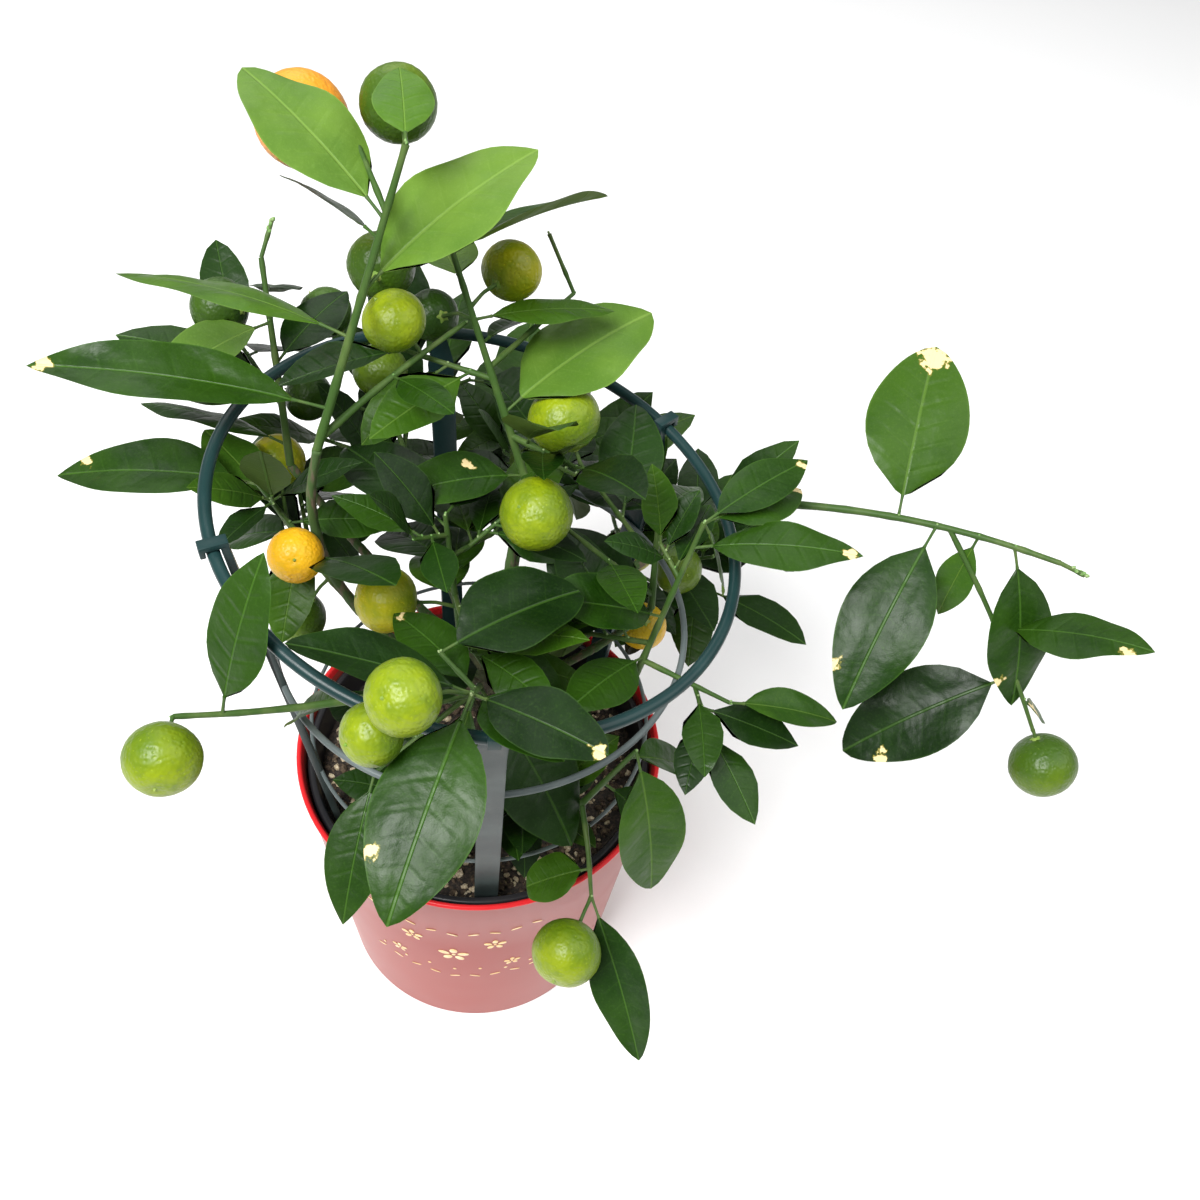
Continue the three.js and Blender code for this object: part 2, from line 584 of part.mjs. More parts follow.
/** One mass of foliage, grown from the tip of its bough. */
class Mass {
  constructor(name, plan) {
    this.name = name;
    this.plan = plan;
    this.bough = BOUGHS[plan.bough];
    this.own = [name, plan.bough];
    this.draw = draws(plan.seed);
    this.pieces = [];
    this.stem = this.courseOf(boughCourse(this.bough).at(-1), plan.stem);
    this.branches = [{ points: this.stem, foot: this.bough.tip, parts: plan }];
    this.add({ kind: 'twig', whole: this.twigSolid(this.stem, this.bough.tip) });
  }

  /** The middle line of a stem or twig. */
  courseOf(start, parts) {
    return course(start, parts, Math.max(2, Math.round(parts.reach / TWIG.step)));
  }

  twigSolid(points, foot) {
    return tapering(points, foot, twigTip(foot), TWIG.sides);
  }

  /** Whether a point lies in the mass's own space, within its spread of the stem. */
  holds(point) {
    return this.stem.some((node) => node.distanceTo(point) < (this.plan.spread ?? SPREAD));
  }

  /** Whether a part keeps to the space, and clear of others and, past its root, of own leaves and fruits. */
  admits({ whole, outer, end }) {
    return this.holds(end) && !obstacle(whole, ({ owner }) => !this.own.includes(owner))
      && !obstacle(outer, ({ owner, kind }) => this.own.includes(owner) && kind !== 'twig');
  }

  add({ kind, whole }) {
    this.pieces.push(whole);
    place(whole, this.name, kind);
  }

  /** Keep a part if it is admitted; returns whether it was. */
  offer(part) {
    const admitted = this.admits(part);
    if (admitted) this.add(part);
    return admitted;
  }

  /** The twigs that branch from those already there and pass `wanted`. */
  growTwigs(wanted) {
    for (let index = 0; index < this.branches.length; index += 1) {
      const { points, foot, parts } = this.branches[index];
      for (const item of (parts.twigs ?? []).filter(wanted)) {
        const thickness = THREE.MathUtils.lerp(foot, twigTip(foot), item.at) * TWIG.thinner;
        this.growTwig(along(points, item.at), Math.max(thickness, TWIG.finest), item);
      }
    }
  }

  growTwig(node, foot, item) {
    const points = this.courseOf(node, item);
    const [whole, outer] = [points, points.slice(1)].map((part) => this.twigSolid(part, foot));
    const grown = this.offer({ kind: 'twig', whole, outer, end: points.at(-1) });
    if (grown) this.branches.push({ points, foot, parts: item });
  }

  growFruits() {
    for (const { points, parts } of this.branches) {
      for (const item of parts.fruits ?? []) this.growFruit(along(points, item.at), item);
    }
  }

  growFruit(node, { turn, rise, reach, size }) {
    const centre = heading(turn, rise).multiplyScalar(reach).add(node);
    const ball = new THREE.SphereGeometry(size / 2, FRUIT.around, FRUIT.down).rotateX(Math.PI / 2);
    ball.scale(1, 1, FRUIT.squash).translate(centre.x, centre.y, centre.z);
    const outer = solidOf(ball);
    const stalk = tapering([node, centre], FRUIT.stalk, FRUIT.stalk, TWIG.sides);
    this.offer({ kind: 'fruit', whole: outer.add(stalk), outer, end: centre });
  }

  growLeaves() {
    for (const { points, parts } of this.branches) {
      for (const item of parts.leaves ?? []) this.growLeaf(along(points, item.at), item);
    }
  }

  /** Grow a leaf unless it is blocked; returns whether it was grown. */
  growLeaf(node, item) {
    const stations = blade(node, item);
    const [whole, outer] = [stations, stations.slice(1)].map((part) => leafSolid(part, item.length));
    return this.offer({ kind: 'leaf', whole, outer, end: stations.at(-1).point });
  }

  /** Leaves by the golden angle round each twig that has a count. */
  growDrawnLeaves() {
    for (const { points, parts } of this.branches) {
      for (let index = 0; index < (parts.drawn ?? 0); index += 1) this.growDrawnLeaf(points, parts, index);
    }
  }

  /** A drawn leaf is turned on round its twig, and made shorter, until it is clear or left out. */
  growDrawnLeaf(points, { drawn, size, turn, rise }, index) {
    const [ahead, level, upright] = [heading(turn, rise), heading(turn - 90, 0), heading(turn, rise + 90)];
    const node = along(points, (index + 1) / drawn);
    const full = size * (DRAWN.least + DRAWN.range * this.draw());
    const roll = DRAWN.roll * (this.draw() - 0.5);
    const phase = NEXT_TRY.turn * this.draw();
    for (let attempt = 0; attempt < TRIES; attempt += 1) {
      const clock = phase + index * GOLDEN_ANGLE + attempt * NEXT_TRY.turn;
      const lead = swing(level, upright, clock).multiplyScalar(DRAWN.out)
        .addScaledVector(ahead, index + 1 === drawn ? DRAWN.lead : DRAWN.ahead);
      lead.z -= DRAWN.down;
      const length = full * (1 - NEXT_TRY.shorter * attempt);
      if (this.growLeaf(node, { ...bearing(lead), length, roll })) return;
    }
  }

  /** The mass as one solid, cut clear of the tip of its bough. */
  solid() {
    return largest(Manifold.union(this.pieces).subtract(boughBody(this.bough, CLEARANCE)));
  }
}

// ---------------------------------------------------------------- assembly

const group = new THREE.Group();

/** A named mesh with its own material. */
function addNode(name, solid, { color, roughness }) {
  const material = new THREE.MeshStandardMaterial({ color, roughness, metalness: 0 });
  const mesh = new THREE.Mesh(geometryOf(solid), material);
  mesh.name = name;
  group.add(mesh);
}

/** A node that the foliage keeps clear of. */
function addFirm(name, solid, finish, owner = name) {
  addNode(name, solid, finish);
  place(solid, owner, 'firm');
}

addFirm('pot_cover', coverPot(), FINISHES.coverPot);
addFirm('pot_nursery', nurseryPot(), FINISHES.nurseryPot);
addFirm('soil', soil(), FINISHES.soil);
for (const [level, ring] of Object.entries(HOOPS)) {
  addFirm(`trellis_hoop_${level}`, hoop(ring), FINISHES.trellis);
}
for (const [side, turn] of Object.entries(TRELLIS.turns)) {
  addFirm(`trellis_upright_${side}`, upright(turn), FINISHES.trellis);
}
addFirm('trunk', trunk(), FINISHES.trunk);
for (const [name, bough] of Object.entries(BOUGHS)) {
  addFirm(`bough_${name}`, boughSolid(bough), FINISHES.bough, name);
}

const masses = Object.entries(MASSES).map(([name, plan]) => new Mass(name, plan));
for (const mass of masses) mass.growTwigs(({ drawn }) => !drawn);
for (const mass of masses) mass.growFruits();
for (const mass of masses) mass.growLeaves();
for (const mass of masses) mass.growTwigs(({ drawn }) => drawn);
for (const mass of masses) mass.growDrawnLeaves();
for (const mass of masses) addNode(`foliage_${mass.name}`, mass.solid(), FINISHES.foliage);

export default group;
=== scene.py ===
"""Calamondin orange tree in a pot: the visible model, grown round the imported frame.

A short trunk and its boughs carry fifteen masses of foliage. Each mass is grown again here
by the rule of its solid, with shaped leaves and fruits and with finer twigs. The wood gets
the relief of its bark, and the pots, the soil and the ring trellis are turned and cut
finely. Growth is worked out in millimetres and laid down in metres, +Z up.
"""

import logging
import math
from collections.abc import Callable, Iterable, Sequence
from dataclasses import dataclass, field
from enum import Enum
from functools import cached_property

import bpy
import numpy as np
from mathutils import Matrix, Vector, noise
from mathutils.bvhtree import BVHTree


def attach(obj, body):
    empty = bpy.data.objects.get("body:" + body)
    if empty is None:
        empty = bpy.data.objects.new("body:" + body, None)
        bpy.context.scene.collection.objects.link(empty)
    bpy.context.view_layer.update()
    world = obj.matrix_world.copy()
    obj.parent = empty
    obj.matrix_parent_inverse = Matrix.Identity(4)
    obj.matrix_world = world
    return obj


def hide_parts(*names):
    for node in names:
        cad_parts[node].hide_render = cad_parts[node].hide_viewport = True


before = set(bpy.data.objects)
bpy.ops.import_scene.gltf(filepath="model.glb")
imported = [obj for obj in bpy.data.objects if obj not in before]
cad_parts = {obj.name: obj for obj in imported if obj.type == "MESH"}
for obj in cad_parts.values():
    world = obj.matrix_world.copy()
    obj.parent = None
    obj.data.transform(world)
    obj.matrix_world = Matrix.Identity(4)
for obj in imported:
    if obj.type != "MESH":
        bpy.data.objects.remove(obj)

LOG = logging.getLogger("potted_tree")
MM = 0.001
BODY = "root"
Colour = tuple[float, float, float]
Shell = tuple[list[Vector], list[tuple[int, ...]]]
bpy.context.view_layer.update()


# ------------------------------------------------------------------ sizes, in millimetres


@dataclass(frozen=True)
class CoverSizes:
    """The cover pot."""

    height: float = 155.0
    rim: float = 82.5
    body_top: float = 81.0
    foot: float = 67.8
    wall: float = 1.6
    floor: float = 3.0
    bead: float = 2.4
    recess: float = 1.2
    ring: tuple[float, float] = (7.0, 5.5)
    steps: int = 128


@dataclass(frozen=True)
class PrintSizes:
    """The gold print: places are along the wall from the middle of the front, then up it."""

    thick: float = 0.15
    lift: float = 0.05
    corners: int = 12
    blossoms: tuple[tuple[float, float, float], ...] = (
        (0, 92, 9), (-19, 106, 6.5), (19, 106, 6.5), (-27, 80, 5), (27, 80, 5),
    )
    dash: tuple[float, float] = (2.6, 0.55)
    dash_slant: float = 18
    dash_rows: tuple[float, float] = (62, 118)
    dash_pitch: float = 9.5
    dash_rise: float = 1.5
    dot: float = 0.8
    dot_row: float = 72
    dot_pitch: float = 12.0
    dot_rise: float = 2.0


@dataclass(frozen=True)
class NurserySizes:
    """The nursery pot inside the cover."""

    top: float = 150.5
    rim: float = 77.9
    body_top: float = 75.6
    foot: float = 62.0
    lip: float = 4.0
    wall: float = 1.4
    low: float = 3.3
    steps: int = 128


@dataclass(frozen=True)
class TrellisSizes:
    """The ring trellis: four uprights and three hoops."""

    foot_radius: float = 69.5
    hoop_radius: float = 95.0
    hoop_height: float = 308.0
    hoop_tilt: float = 10.8
    width: float = 10.0
    thick: float = 3.0
    hook: float = 2.4
    lip: float = 2.0
    sunk: float = 10.0
    wire: float = 2.3
    fine_wires: tuple[float, float] = (1.3, 0.85)
    head_share: float = 0.45
    head_length: float = 9.0
    levels: tuple[float, float] = (246.0, 180.0)


SOIL_LEVEL = 138.0
CLEARANCE = 0.3
AIR = 0.8
SPREAD = 95.0
GOLDEN_ANGLE = 137.5
TRIES = 6
ROD_SIDES = 3


# ------------------------------------------------------------------ the plan of the tree


class Tint(Enum):
    """The greens of the leaves, from old and shaded to newly opened."""

    DEEP = "deep"
    DARK = "dark"
    MID = "mid"
    FRESH = "fresh"
    YOUNG = "young"


class Ripe(Enum):
    """How far a fruit has coloured."""

    DARK = "dark"
    GREEN = "green"
    LIME = "lime"
    GOLDEN = "golden"
    YELLOW = "yellow"
    ORANGE = "orange"


class Tip(Enum):
    """How a twig ends."""

    PLAIN = "plain"
    BUDS = "buds"
    DEAD = "dead"


class Age(Enum):
    """The skins of the twigs, in the order of their material slots."""

    MATURE = 0
    GREEN = 1
    STALK = 2
    DEAD = 3


@dataclass(frozen=True)
class Leaf:
    """A leaf: its place along its twig, heading, length with stalk, form, tint and blemish.

    `spot` is a blemish's place along the blade, its place across from -1 to 1 and its radius.
    """

    at: float
    turn: float
    rise: float
    length: float
    wide: float = 0.45
    roll: float = 0.0
    droop: float = 24.0
    tint: Tint = Tint.DARK
    spot: tuple[float, float, float] | None = None


@dataclass(frozen=True)
class Fruit:
    """A fruit: its place along its twig, its stalk's heading, the reach to its centre, its size."""

    at: float
    turn: float
    rise: float
    reach: float
    size: float
    ripe: Ripe = Ripe.LIME


@dataclass(frozen=True)
class Twig:
    """A twig or stem: place along its parent, mean heading, reach, and what stands on it."""

    at: float
    turn: float
    rise: float
    reach: float
    bend: float = 0.0
    sway: float = 0.0
    leaves: tuple[Leaf, ...] = ()
    fruits: tuple[Fruit, ...] = ()
    twigs: tuple["Twig", ...] = ()
    drawn: int = 0
    size: float = 0.0
    tip: Tip = Tip.PLAIN


@dataclass(frozen=True)
class Bough:
    """A bough: the height at which it leaves the trunk, its heading, reach, bend and radii."""

    start: float
    turn: float
    rise: float
    reach: float
    bend: float
    foot: float
    tip: float


@dataclass(frozen=True)
class Plan:
    """A mass: the stem with all that stands on it, its seed, its spread and its finer shoots."""

    seed: int
    stem: Twig
    finer: int = 0
    spread: float = SPREAD


D, M, F, Y = Tint.DEEP, Tint.MID, Tint.FRESH, Tint.YOUNG

BOUGHS: dict[str, Bough] = {
    "left_leader": Bough(184, -173, 66, 172, 80, 2.7, 1.7),
    "centre_leader": Bough(205, 71, 79, 97, -16, 2.5, 1.7),
    "inner": Bough(192, -130, 66, 50, 40, 2, 1.5),
    "left_rear": Bough(196, 165, 45, 128, 22, 2.3, 1.6),
    "left_mid": Bough(171, 172, 42, 96, 30, 2.1, 1.5),
    "left_low": Bough(170, -114, 53, 142, -10, 2.1, 1.5),
    "front": Bough(180, -91, 58, 78, 20, 2.2, 1.5),
    "front_low": Bough(152, -84, 34, 46, 10, 1.9, 1.4),
    "front_right": Bough(167, -57, 24, 84, -10, 2.1, 1.5),
    "right_side": Bough(175, -20, 46, 92, 30, 2.2, 1.5),
    "right_leader": Bough(184, 2, 48, 93, 24, 2.3, 1.6),
    "right_arm": Bough(194, 22, 42, 134, -24, 2.4, 1.7),
    "back_right": Bough(166, 60, 24, 86, 0, 2, 1.5),
    "back_centre": Bough(186, 88, 36, 74, -10, 2, 1.5),
    "back_left": Bough(174, 128, 48, 92, 14, 2.1, 1.5),
}

MASS_BOUGHS: dict[str, str] = {
    "top_left": "left_leader", "top_centre": "centre_leader", "centre": "inner",
    "left_upper": "left_rear", "left_mid": "left_mid", "left_low": "left_low",
    "front_centre": "front", "front_low": "front_low", "front_right": "front_right",
    "right_shoulder": "right_side", "upper_right": "right_leader", "right_reach": "right_arm",
    "back_left": "back_left", "back_centre": "back_centre", "back_right": "back_right",
}

MASSES: dict[str, Plan] = {
    "top_left": Plan(11, Twig(
        1, 48, 67, 111,
        leaves=(
            Leaf(0.15, -177, 4, 102, 0.26, -6, spot=(0.93, 0.1, 5)),
            Leaf(0.4, 166, -2, 90, 0.29, 25, tint=F),
            Leaf(0.55, 44, 23, 76, 0.5, tint=Y),
            Leaf(0.72, 137, -8, 60, 0.32, 40),
            Leaf(0.78, 142, 17, 72, 0.44, tint=Y),
            Leaf(1, 104, 9, 36, 0.54, tint=F),
        ),
        fruits=(Fruit(0.45, 93, -16, 54, 25, Ripe.GREEN), Fruit(1, 105, -15, 46, 26, Ripe.GREEN)),
        twigs=(
            Twig(0.8, 121, 11, 50, -30, fruits=(Fruit(1, 150, -35, 20, 33, Ripe.ORANGE),)),
            Twig(0.04, 49, 16, 68, -12, leaves=(Leaf(0.5, -40, 10, 34),),
                 fruits=(Fruit(0.7, 177, 53, 16, 23, Ripe.LIME),)),
        ),
    ), spread=110),
    "top_centre": Plan(23, Twig(
        1, 136, 59, 91,
        leaves=(
            Leaf(0.02, -158, -2, 52, 0.5, spot=(0.25, 0.5, 3)), Leaf(0.3, 44, 14, 72, 0.56, tint=Y),
            Leaf(0.6, 66, -18, 44, 0.3, -20),
            Leaf(0.7, 22, -4, 54, 0.36, -10, tint=M),
            Leaf(0.85, 112, -16, 48, 0.5, tint=Y),
            Leaf(0.97, 45, -2, 72, 0.32, -36, tint=M),
        ),
        fruits=(Fruit(0.75, 65, 0, 27, 23, Ripe.GOLDEN), Fruit(0.7, 130, -32, 36, 20, Ripe.DARK)),
        twigs=(
            Twig(0.5, 60, 4, 52, twigs=(Twig(1, 140, 50, 24, tip=Tip.DEAD),)),
            Twig(0.45, 175, 10, 34, drawn=4, size=54), Twig(0.2, -30, 5, 30, drawn=4, size=54),
        ),
    )),
    "centre": Plan(31, Twig(
        1, 131, 81, 66,
        leaves=(
            Leaf(0.2, 8, 2, 60, 0.55, tint=D),
            Leaf(0.35, 112, -26, 55, tint=F), Leaf(0.5, 97, -22, 50, tint=M),
            Leaf(0.62, 132, -30, 62, tint=D), Leaf(0.92, 138, -8, 66, tint=D),
            Leaf(1, 78, -19, 50, tint=D),
        ),
        fruits=(Fruit(0.3, -166, 15, 28, 26, Ripe.GOLDEN), Fruit(0.05, -12, -30, 26, 22, Ripe.YELLOW)),
        twigs=(
            Twig(0.4, -70, 12, 34, drawn=4, size=56), Twig(0.7, 60, -20, 28, drawn=4, size=54),
            Twig(0.1, -52, 0, 34, drawn=4, size=54),
        ),
    ), finer=5),
    "left_upper": Plan(41, Twig(
        1, 109, 58, 79,
        leaves=(
            Leaf(0.1, 171, 3, 62, 0.36, 30), Leaf(0.35, -178, -6, 46, tint=M),
            Leaf(0.7, -137, -14, 52, 0.5, tint=Y), Leaf(0.85, 100, -38, 46, tint=D),
            Leaf(0.5, 68, 5, 48, tint=D),
        ),
        fruits=(Fruit(0.75, 167, -13, 22, 23, Ripe.DARK),),
        twigs=(Twig(0.3, 130, 5, 40, drawn=4, size=52), Twig(1, 70, 50, 14, tip=Tip.BUDS)),
    )),
    "left_mid": Plan(47, Twig(
        1, -173, 68, 65,
        leaves=(
            Leaf(0.95, -179, -6, 80, 0.38, spot=(0.8, 0.9, 4)), Leaf(0.8, 139, 5, 46, tint=F, spot=(0.2, 0.4, 5)),
            Leaf(0.5, 160, -35, 48),
        ),
        fruits=(
            Fruit(0.6, 111, 4, 33, 22.5, Ripe.GOLDEN), Fruit(0.45, -74, 38, 37, 21, Ripe.YELLOW),
            Fruit(0.05, -150, -50, 24, 24.5, Ripe.GREEN),
        ),
        twigs=(Twig(0.3, 112, 12, 30, drawn=4, size=50), Twig(0.7, -45, 1, 30, drawn=4, size=54)),
    ), finer=2),
    "left_low": Plan(53, Twig(
        1, -156, 12, 62, 12,
        leaves=(Leaf(0.75, 61, 62, 62, 0.4), Leaf(0.1, 155, -53, 46, tint=M)),
        fruits=(Fruit(1, -84, 0, 16, 25, Ripe.LIME),),
    ), spread=115),
    "front_centre": Plan(61, Twig(
        1, -84, 53, 89,
        leaves=(
            Leaf(0.1, -39, -43, 75, 0.5, tint=D), Leaf(0.24, -102, -47, 72, 0.32, 15, tint=M, spot=(0.92, 0, 6)),
            Leaf(0.5, 137, -7, 50, 0.42, spot=(0.9, 0.2, 3)), Leaf(0.95, -24, 7, 50, 0.5, tint=D, spot=(0.93, 0.3, 4)),
            Leaf(1, -102, -22, 75, 0.47, droop=30, spot=(0.62, 0.92, 4)),
            Leaf(0.9, -173, 23, 62, 0.46, 20, tint=D), Leaf(0.85, -40, 13, 44, 0.55),
        ),
        fruits=(Fruit(0.95, -128, 43, 37, 23.5, Ripe.LIME), Fruit(0.9, -136, 14, 38, 20.5, Ripe.LIME)),
        twigs=(
            Twig(0.5, 148, 24, 18, leaves=(Leaf(1, 37, 2, 57, 0.62, tint=D),)),
            Twig(0.12, -139, -25, 50,
                 leaves=(Leaf(1, -97, -43, 60, 0.38), Leaf(0.6, 152, -16, 46, tint=D))),
        ),
    ), spread=105),
    "front_low": Plan(67, Twig(
        1, -60, 40, 24,
        twigs=(Twig(0.6, -150, 10, 30, drawn=3, size=42), Twig(1, -20, 20, 26, drawn=3, size=44)),
    ), finer=4),
    "front_right": Plan(71, Twig(
        1, 0, 68, 54,
        leaves=(
            Leaf(1, -57, -68, 70, 0.42, tint=M), Leaf(0.9, 30, -42, 40, tint=M),
            Leaf(0.5, -17, -41, 44),
        ),
        twigs=(
            Twig(0.15, -75, -29, 37, -50,
                 leaves=(Leaf(0.7, -170, -30, 28, 0.75, tint=M), Leaf(1, -59, -41, 70, 0.32, 35)),
                 fruits=(Fruit(1, -107, -7, 24, 27, Ripe.LIME),)),
        ),
    ), spread=115),
    "right_shoulder": Plan(73, Twig(
        1, 48, 72, 76,
        leaves=(
            Leaf(1, 45, 2, 54, 0.38, spot=(0.9, 0.5, 3)), Leaf(1, 42, -11, 52, 0.44, tint=M, spot=(0.95, 0.2, 4)),
            Leaf(0.85, -6, 13, 62, 0.38, spot=(0.9, 0.3, 4)), Leaf(1, 10, -72, 44, 0.4, tint=F),
            Leaf(0.12, -124, 16, 50, 0.46), Leaf(0.4, -164, 20, 50, 0.56),
        ),
        twigs=(
            Twig(0.1, -30, 9, 40, leaves=(Leaf(1, 10, -18, 48, 0.36, tint=M),)),
            Twig(0.22, 165, -16, 36, drawn=4, size=52),
        ),
    ), finer=2),
    "upper_right": Plan(79, Twig(
        1, 96, 59, 39,
        leaves=(
            Leaf(0.1, 151, 0, 60, 0.5, tint=D), Leaf(1, 66, -25, 46, 0.36), Leaf(1, 140, -20, 46, tint=D),
        ),
        fruits=(Fruit(0.05, 94, -66, 37, 20.5, Ripe.YELLOW),),
        twigs=(
            Twig(0.5, 159, 45, 51, leaves=(Leaf(0.45, 90, 18, 52, 0.5, tint=D),),
                 fruits=(Fruit(1, 129, 43, 18, 28, Ripe.LIME),)),
            Twig(0.15, -170, 47, 57, leaves=(Leaf(0.5, -70, 20, 40),),
                 fruits=(Fruit(1, -136, 47, 18, 27, Ripe.LIME),)),
        ),
    ), finer=2),
    "right_reach": Plan(83, Twig(
        1, -15, 10, 124, -8, -22,
        leaves=(
            Leaf(0.5, 82, 31, 72, 0.56, tint=M, spot=(0.9, 0.1, 9)),
            Leaf(0.62, -115, -37, 80, 0.43, spot=(0.72, 0.95, 4)),
            Leaf(0.75, -126, -80, 42, 0.36, tint=F), Leaf(0.86, -64, -60, 68, 0.44, spot=(0.7, 0.9, 3)),
        ),
        twigs=(
            Twig(0.66, -43, -43, 90, -14,
                 leaves=(
                     Leaf(0.5, -30, 30, 60, 0.42, spot=(0.8, 0.85, 4)),
                     Leaf(0.72, -166, -38, 76, 0.46, -25, tint=D, spot=(0.72, -0.95, 5)),
                     Leaf(0.85, 17, -49, 24, tint=M, spot=(0.2, 0.2, 4)),
                 ),
                 fruits=(Fruit(1, -49, -47, 16, 27, Ripe.GREEN),)),
            Twig(1, -40, 10, 10, tip=Tip.BUDS),
        ),
    ), spread=130),
    "back_left": Plan(89, Twig(
        1, 128, 48, 58,
        fruits=(
            Fruit(1, 154, 42, 36, 22, Ripe.DARK), Fruit(0.8, -91, 70, 33, 22, Ripe.GREEN),
            Fruit(0.7, -177, 17, 37, 21, Ripe.DARK),
        ),
        twigs=(
            Twig(0.35, 165, 0, 46, drawn=5, size=56), Twig(0.5, 95, 5, 46, drawn=5, size=56),
            Twig(0.15, 140, -41, 44, drawn=4, size=52), Twig(0.8, 30, 10, 36, drawn=3, size=50),
        ),
    ), finer=4),
    "back_centre": Plan(97, Twig(
        1, 90, 6, 44,
        fruits=(Fruit(0.9, 100, -60, 34, 25, Ripe.GREEN),),
        twigs=(
            Twig(0.3, 140, -10, 40, drawn=4, size=54), Twig(0.4, 45, -10, 40, drawn=4, size=54),
            Twig(0.9, 110, -15, 36, drawn=4, size=54), Twig(0.2, 70, 12, 36, drawn=4, size=48),
        ),
    ), finer=9),
    "back_right": Plan(101, Twig(
        1, 30, 10, 42,
        fruits=(Fruit(0.5, -60, 32, 40, 22, Ripe.GREEN), Fruit(0.5, 100, -50, 30, 24, Ripe.GOLDEN)),
        twigs=(
            Twig(0.3, 104, -12, 40, drawn=4, size=52), Twig(0.6, -20, -22, 38, drawn=4, size=50),
            Twig(0.95, 44, -14, 34, drawn=5, size=50), Twig(0.1, 20, -40, 34, drawn=3, size=48),
        ),
    ), finer=6),
}


# ------------------------------------------------------------------ headings and courses


def heading(turn: float, rise: float) -> Vector:
    """Return the unit vector at a compass turn from +X and a rise above the level, in degrees."""
    flat, up = math.cos(math.radians(rise)), math.sin(math.radians(rise))
    return Vector((flat * math.cos(math.radians(turn)), flat * math.sin(math.radians(turn)), up))


def bearing(vector: Vector) -> tuple[float, float]:
    """Return the turn and the rise of a vector, in degrees."""
    unit = vector.normalized()
    return math.degrees(math.atan2(unit.y, unit.x)), math.degrees(math.asin(unit.z))


def swing(start: Vector, towards: Vector, angle: float) -> Vector:
    """Return `start` turned by an angle towards another unit vector at right angles to it."""
    return start * math.cos(math.radians(angle)) + towards * math.sin(math.radians(angle))


def course(start: Vector, part: Twig | Bough, steps: int) -> list[Vector]:
    """Return the points of a limb whose rise and turn change evenly on the way.

    Args:
        start: Where the limb begins.
        part: Its heading, reach, bend and, for a twig, sway.
        steps: How many even steps it has.

    Returns:
        One point more than there are steps.
    """
    points = [start.copy()]
    for step in range(steps):
        off = (step + 0.5) / steps - 0.5
        ahead = heading(part.turn + getattr(part, "sway", 0.0) * off, part.rise + part.bend * off)
        points.append(points[-1] + ahead * (part.reach / steps))
    return points


def along(points: Sequence[Vector], at: float) -> Vector:
    """Return a point on a course of even steps.

    Args:
        points: The course.
        at: How far along it the point is, from 0 to 1.

    Returns:
        The point.
    """
    place = min(max(at, 0.0), 1.0) * (len(points) - 1)
    index = min(int(place), len(points) - 2)
    return points[index].lerp(points[index + 1], place - index)


def eased(points: Sequence[Vector], parts: int) -> list[Vector]:
    """Return a course with each step cut into parts on one smooth curve through its points.

    Args:
        points: The course.
        parts: How many parts each step gets.

    Returns:
        The finer course, with the same ends.
    """
    ends = [points[0] * 2 - points[1], *points, points[-1] * 2 - points[-2]]
    fine = []
    for before, here, ahead, beyond in zip(ends, ends[1:], ends[2:], ends[3:]):
        for part in range(parts):
            t = part / parts
            fine.append(0.5 * (
                here * 2 + (ahead - before) * t
                + (before * 2 - here * 5 + ahead * 4 - beyond) * t**2
                + (here * 3 - before - ahead * 3 + beyond) * t**3
            ))
    return [*fine, points[-1].copy()]


def knot(gone: float, high: float, pitch: float, half: float) -> float:
    """Return how far a limb swells at a place, by knots that stand evenly along it.

    Args:
        gone: The place's distance from the limb's foot.
        high: How far each knot stands out.
        pitch: How far apart they are.
        half: About half the length of one.

    Returns:
        The swelling.
    """
    return high * math.exp(-(((gone % pitch) - pitch / 2) / half) ** 2)


class Draws:
    """A repeatable draw of numbers from 0 to 1."""

    MASK = 0xFFFFFFFF
    SCATTER = 2654435761
    FACTOR = 1664525
    SHIFT = 1013904223

    def __init__(self, seed: int) -> None:
        """Start the draw at a seed."""
        self.state = (seed * self.SCATTER) & self.MASK

    def __call__(self) -> float:
        """Return the next number."""
        self.state = (self.state * self.FACTOR + self.SHIFT) & self.MASK
        return self.state / (self.MASK + 1)

    def within(self, low: float, high: float) -> float:
        """Return the next number, between two limits."""
        return low + (high - low) * self()


# ------------------------------------------------------------------ clearance of what grows


def skin(rings: Sequence[Sequence[Vector]]) -> Shell:
    """Return a closed skin over rings.

    Args:
        rings: Rings of equal count, from foot to tip; a ring of one point is a tip.

    Returns:
        Its corners, and its faces in triangles.
    """
    corners = [corner for ring in rings for corner in ring]
    faces: list[tuple[int, ...]] = []
    base = 0
    for ring, beyond in zip(rings, rings[1:]):
        here, ahead = len(ring), len(beyond)
        onward, count = base + here, max(here, ahead)
        for i in range(count):
            j = (i + 1) % count
            if here > 1:
                faces.append((base + i, base + j, onward + (j if ahead > 1 else 0)))
            if ahead > 1:
                faces.append((base + (i if here > 1 else 0), onward + j, onward + i))
        base = onward
    faces += [(0, i + 1, i) for i in range(1, len(rings[0]) - 1)]
    faces += [(base, base + i, base + i + 1) for i in range(1, len(rings[-1]) - 1)]
    return corners, faces


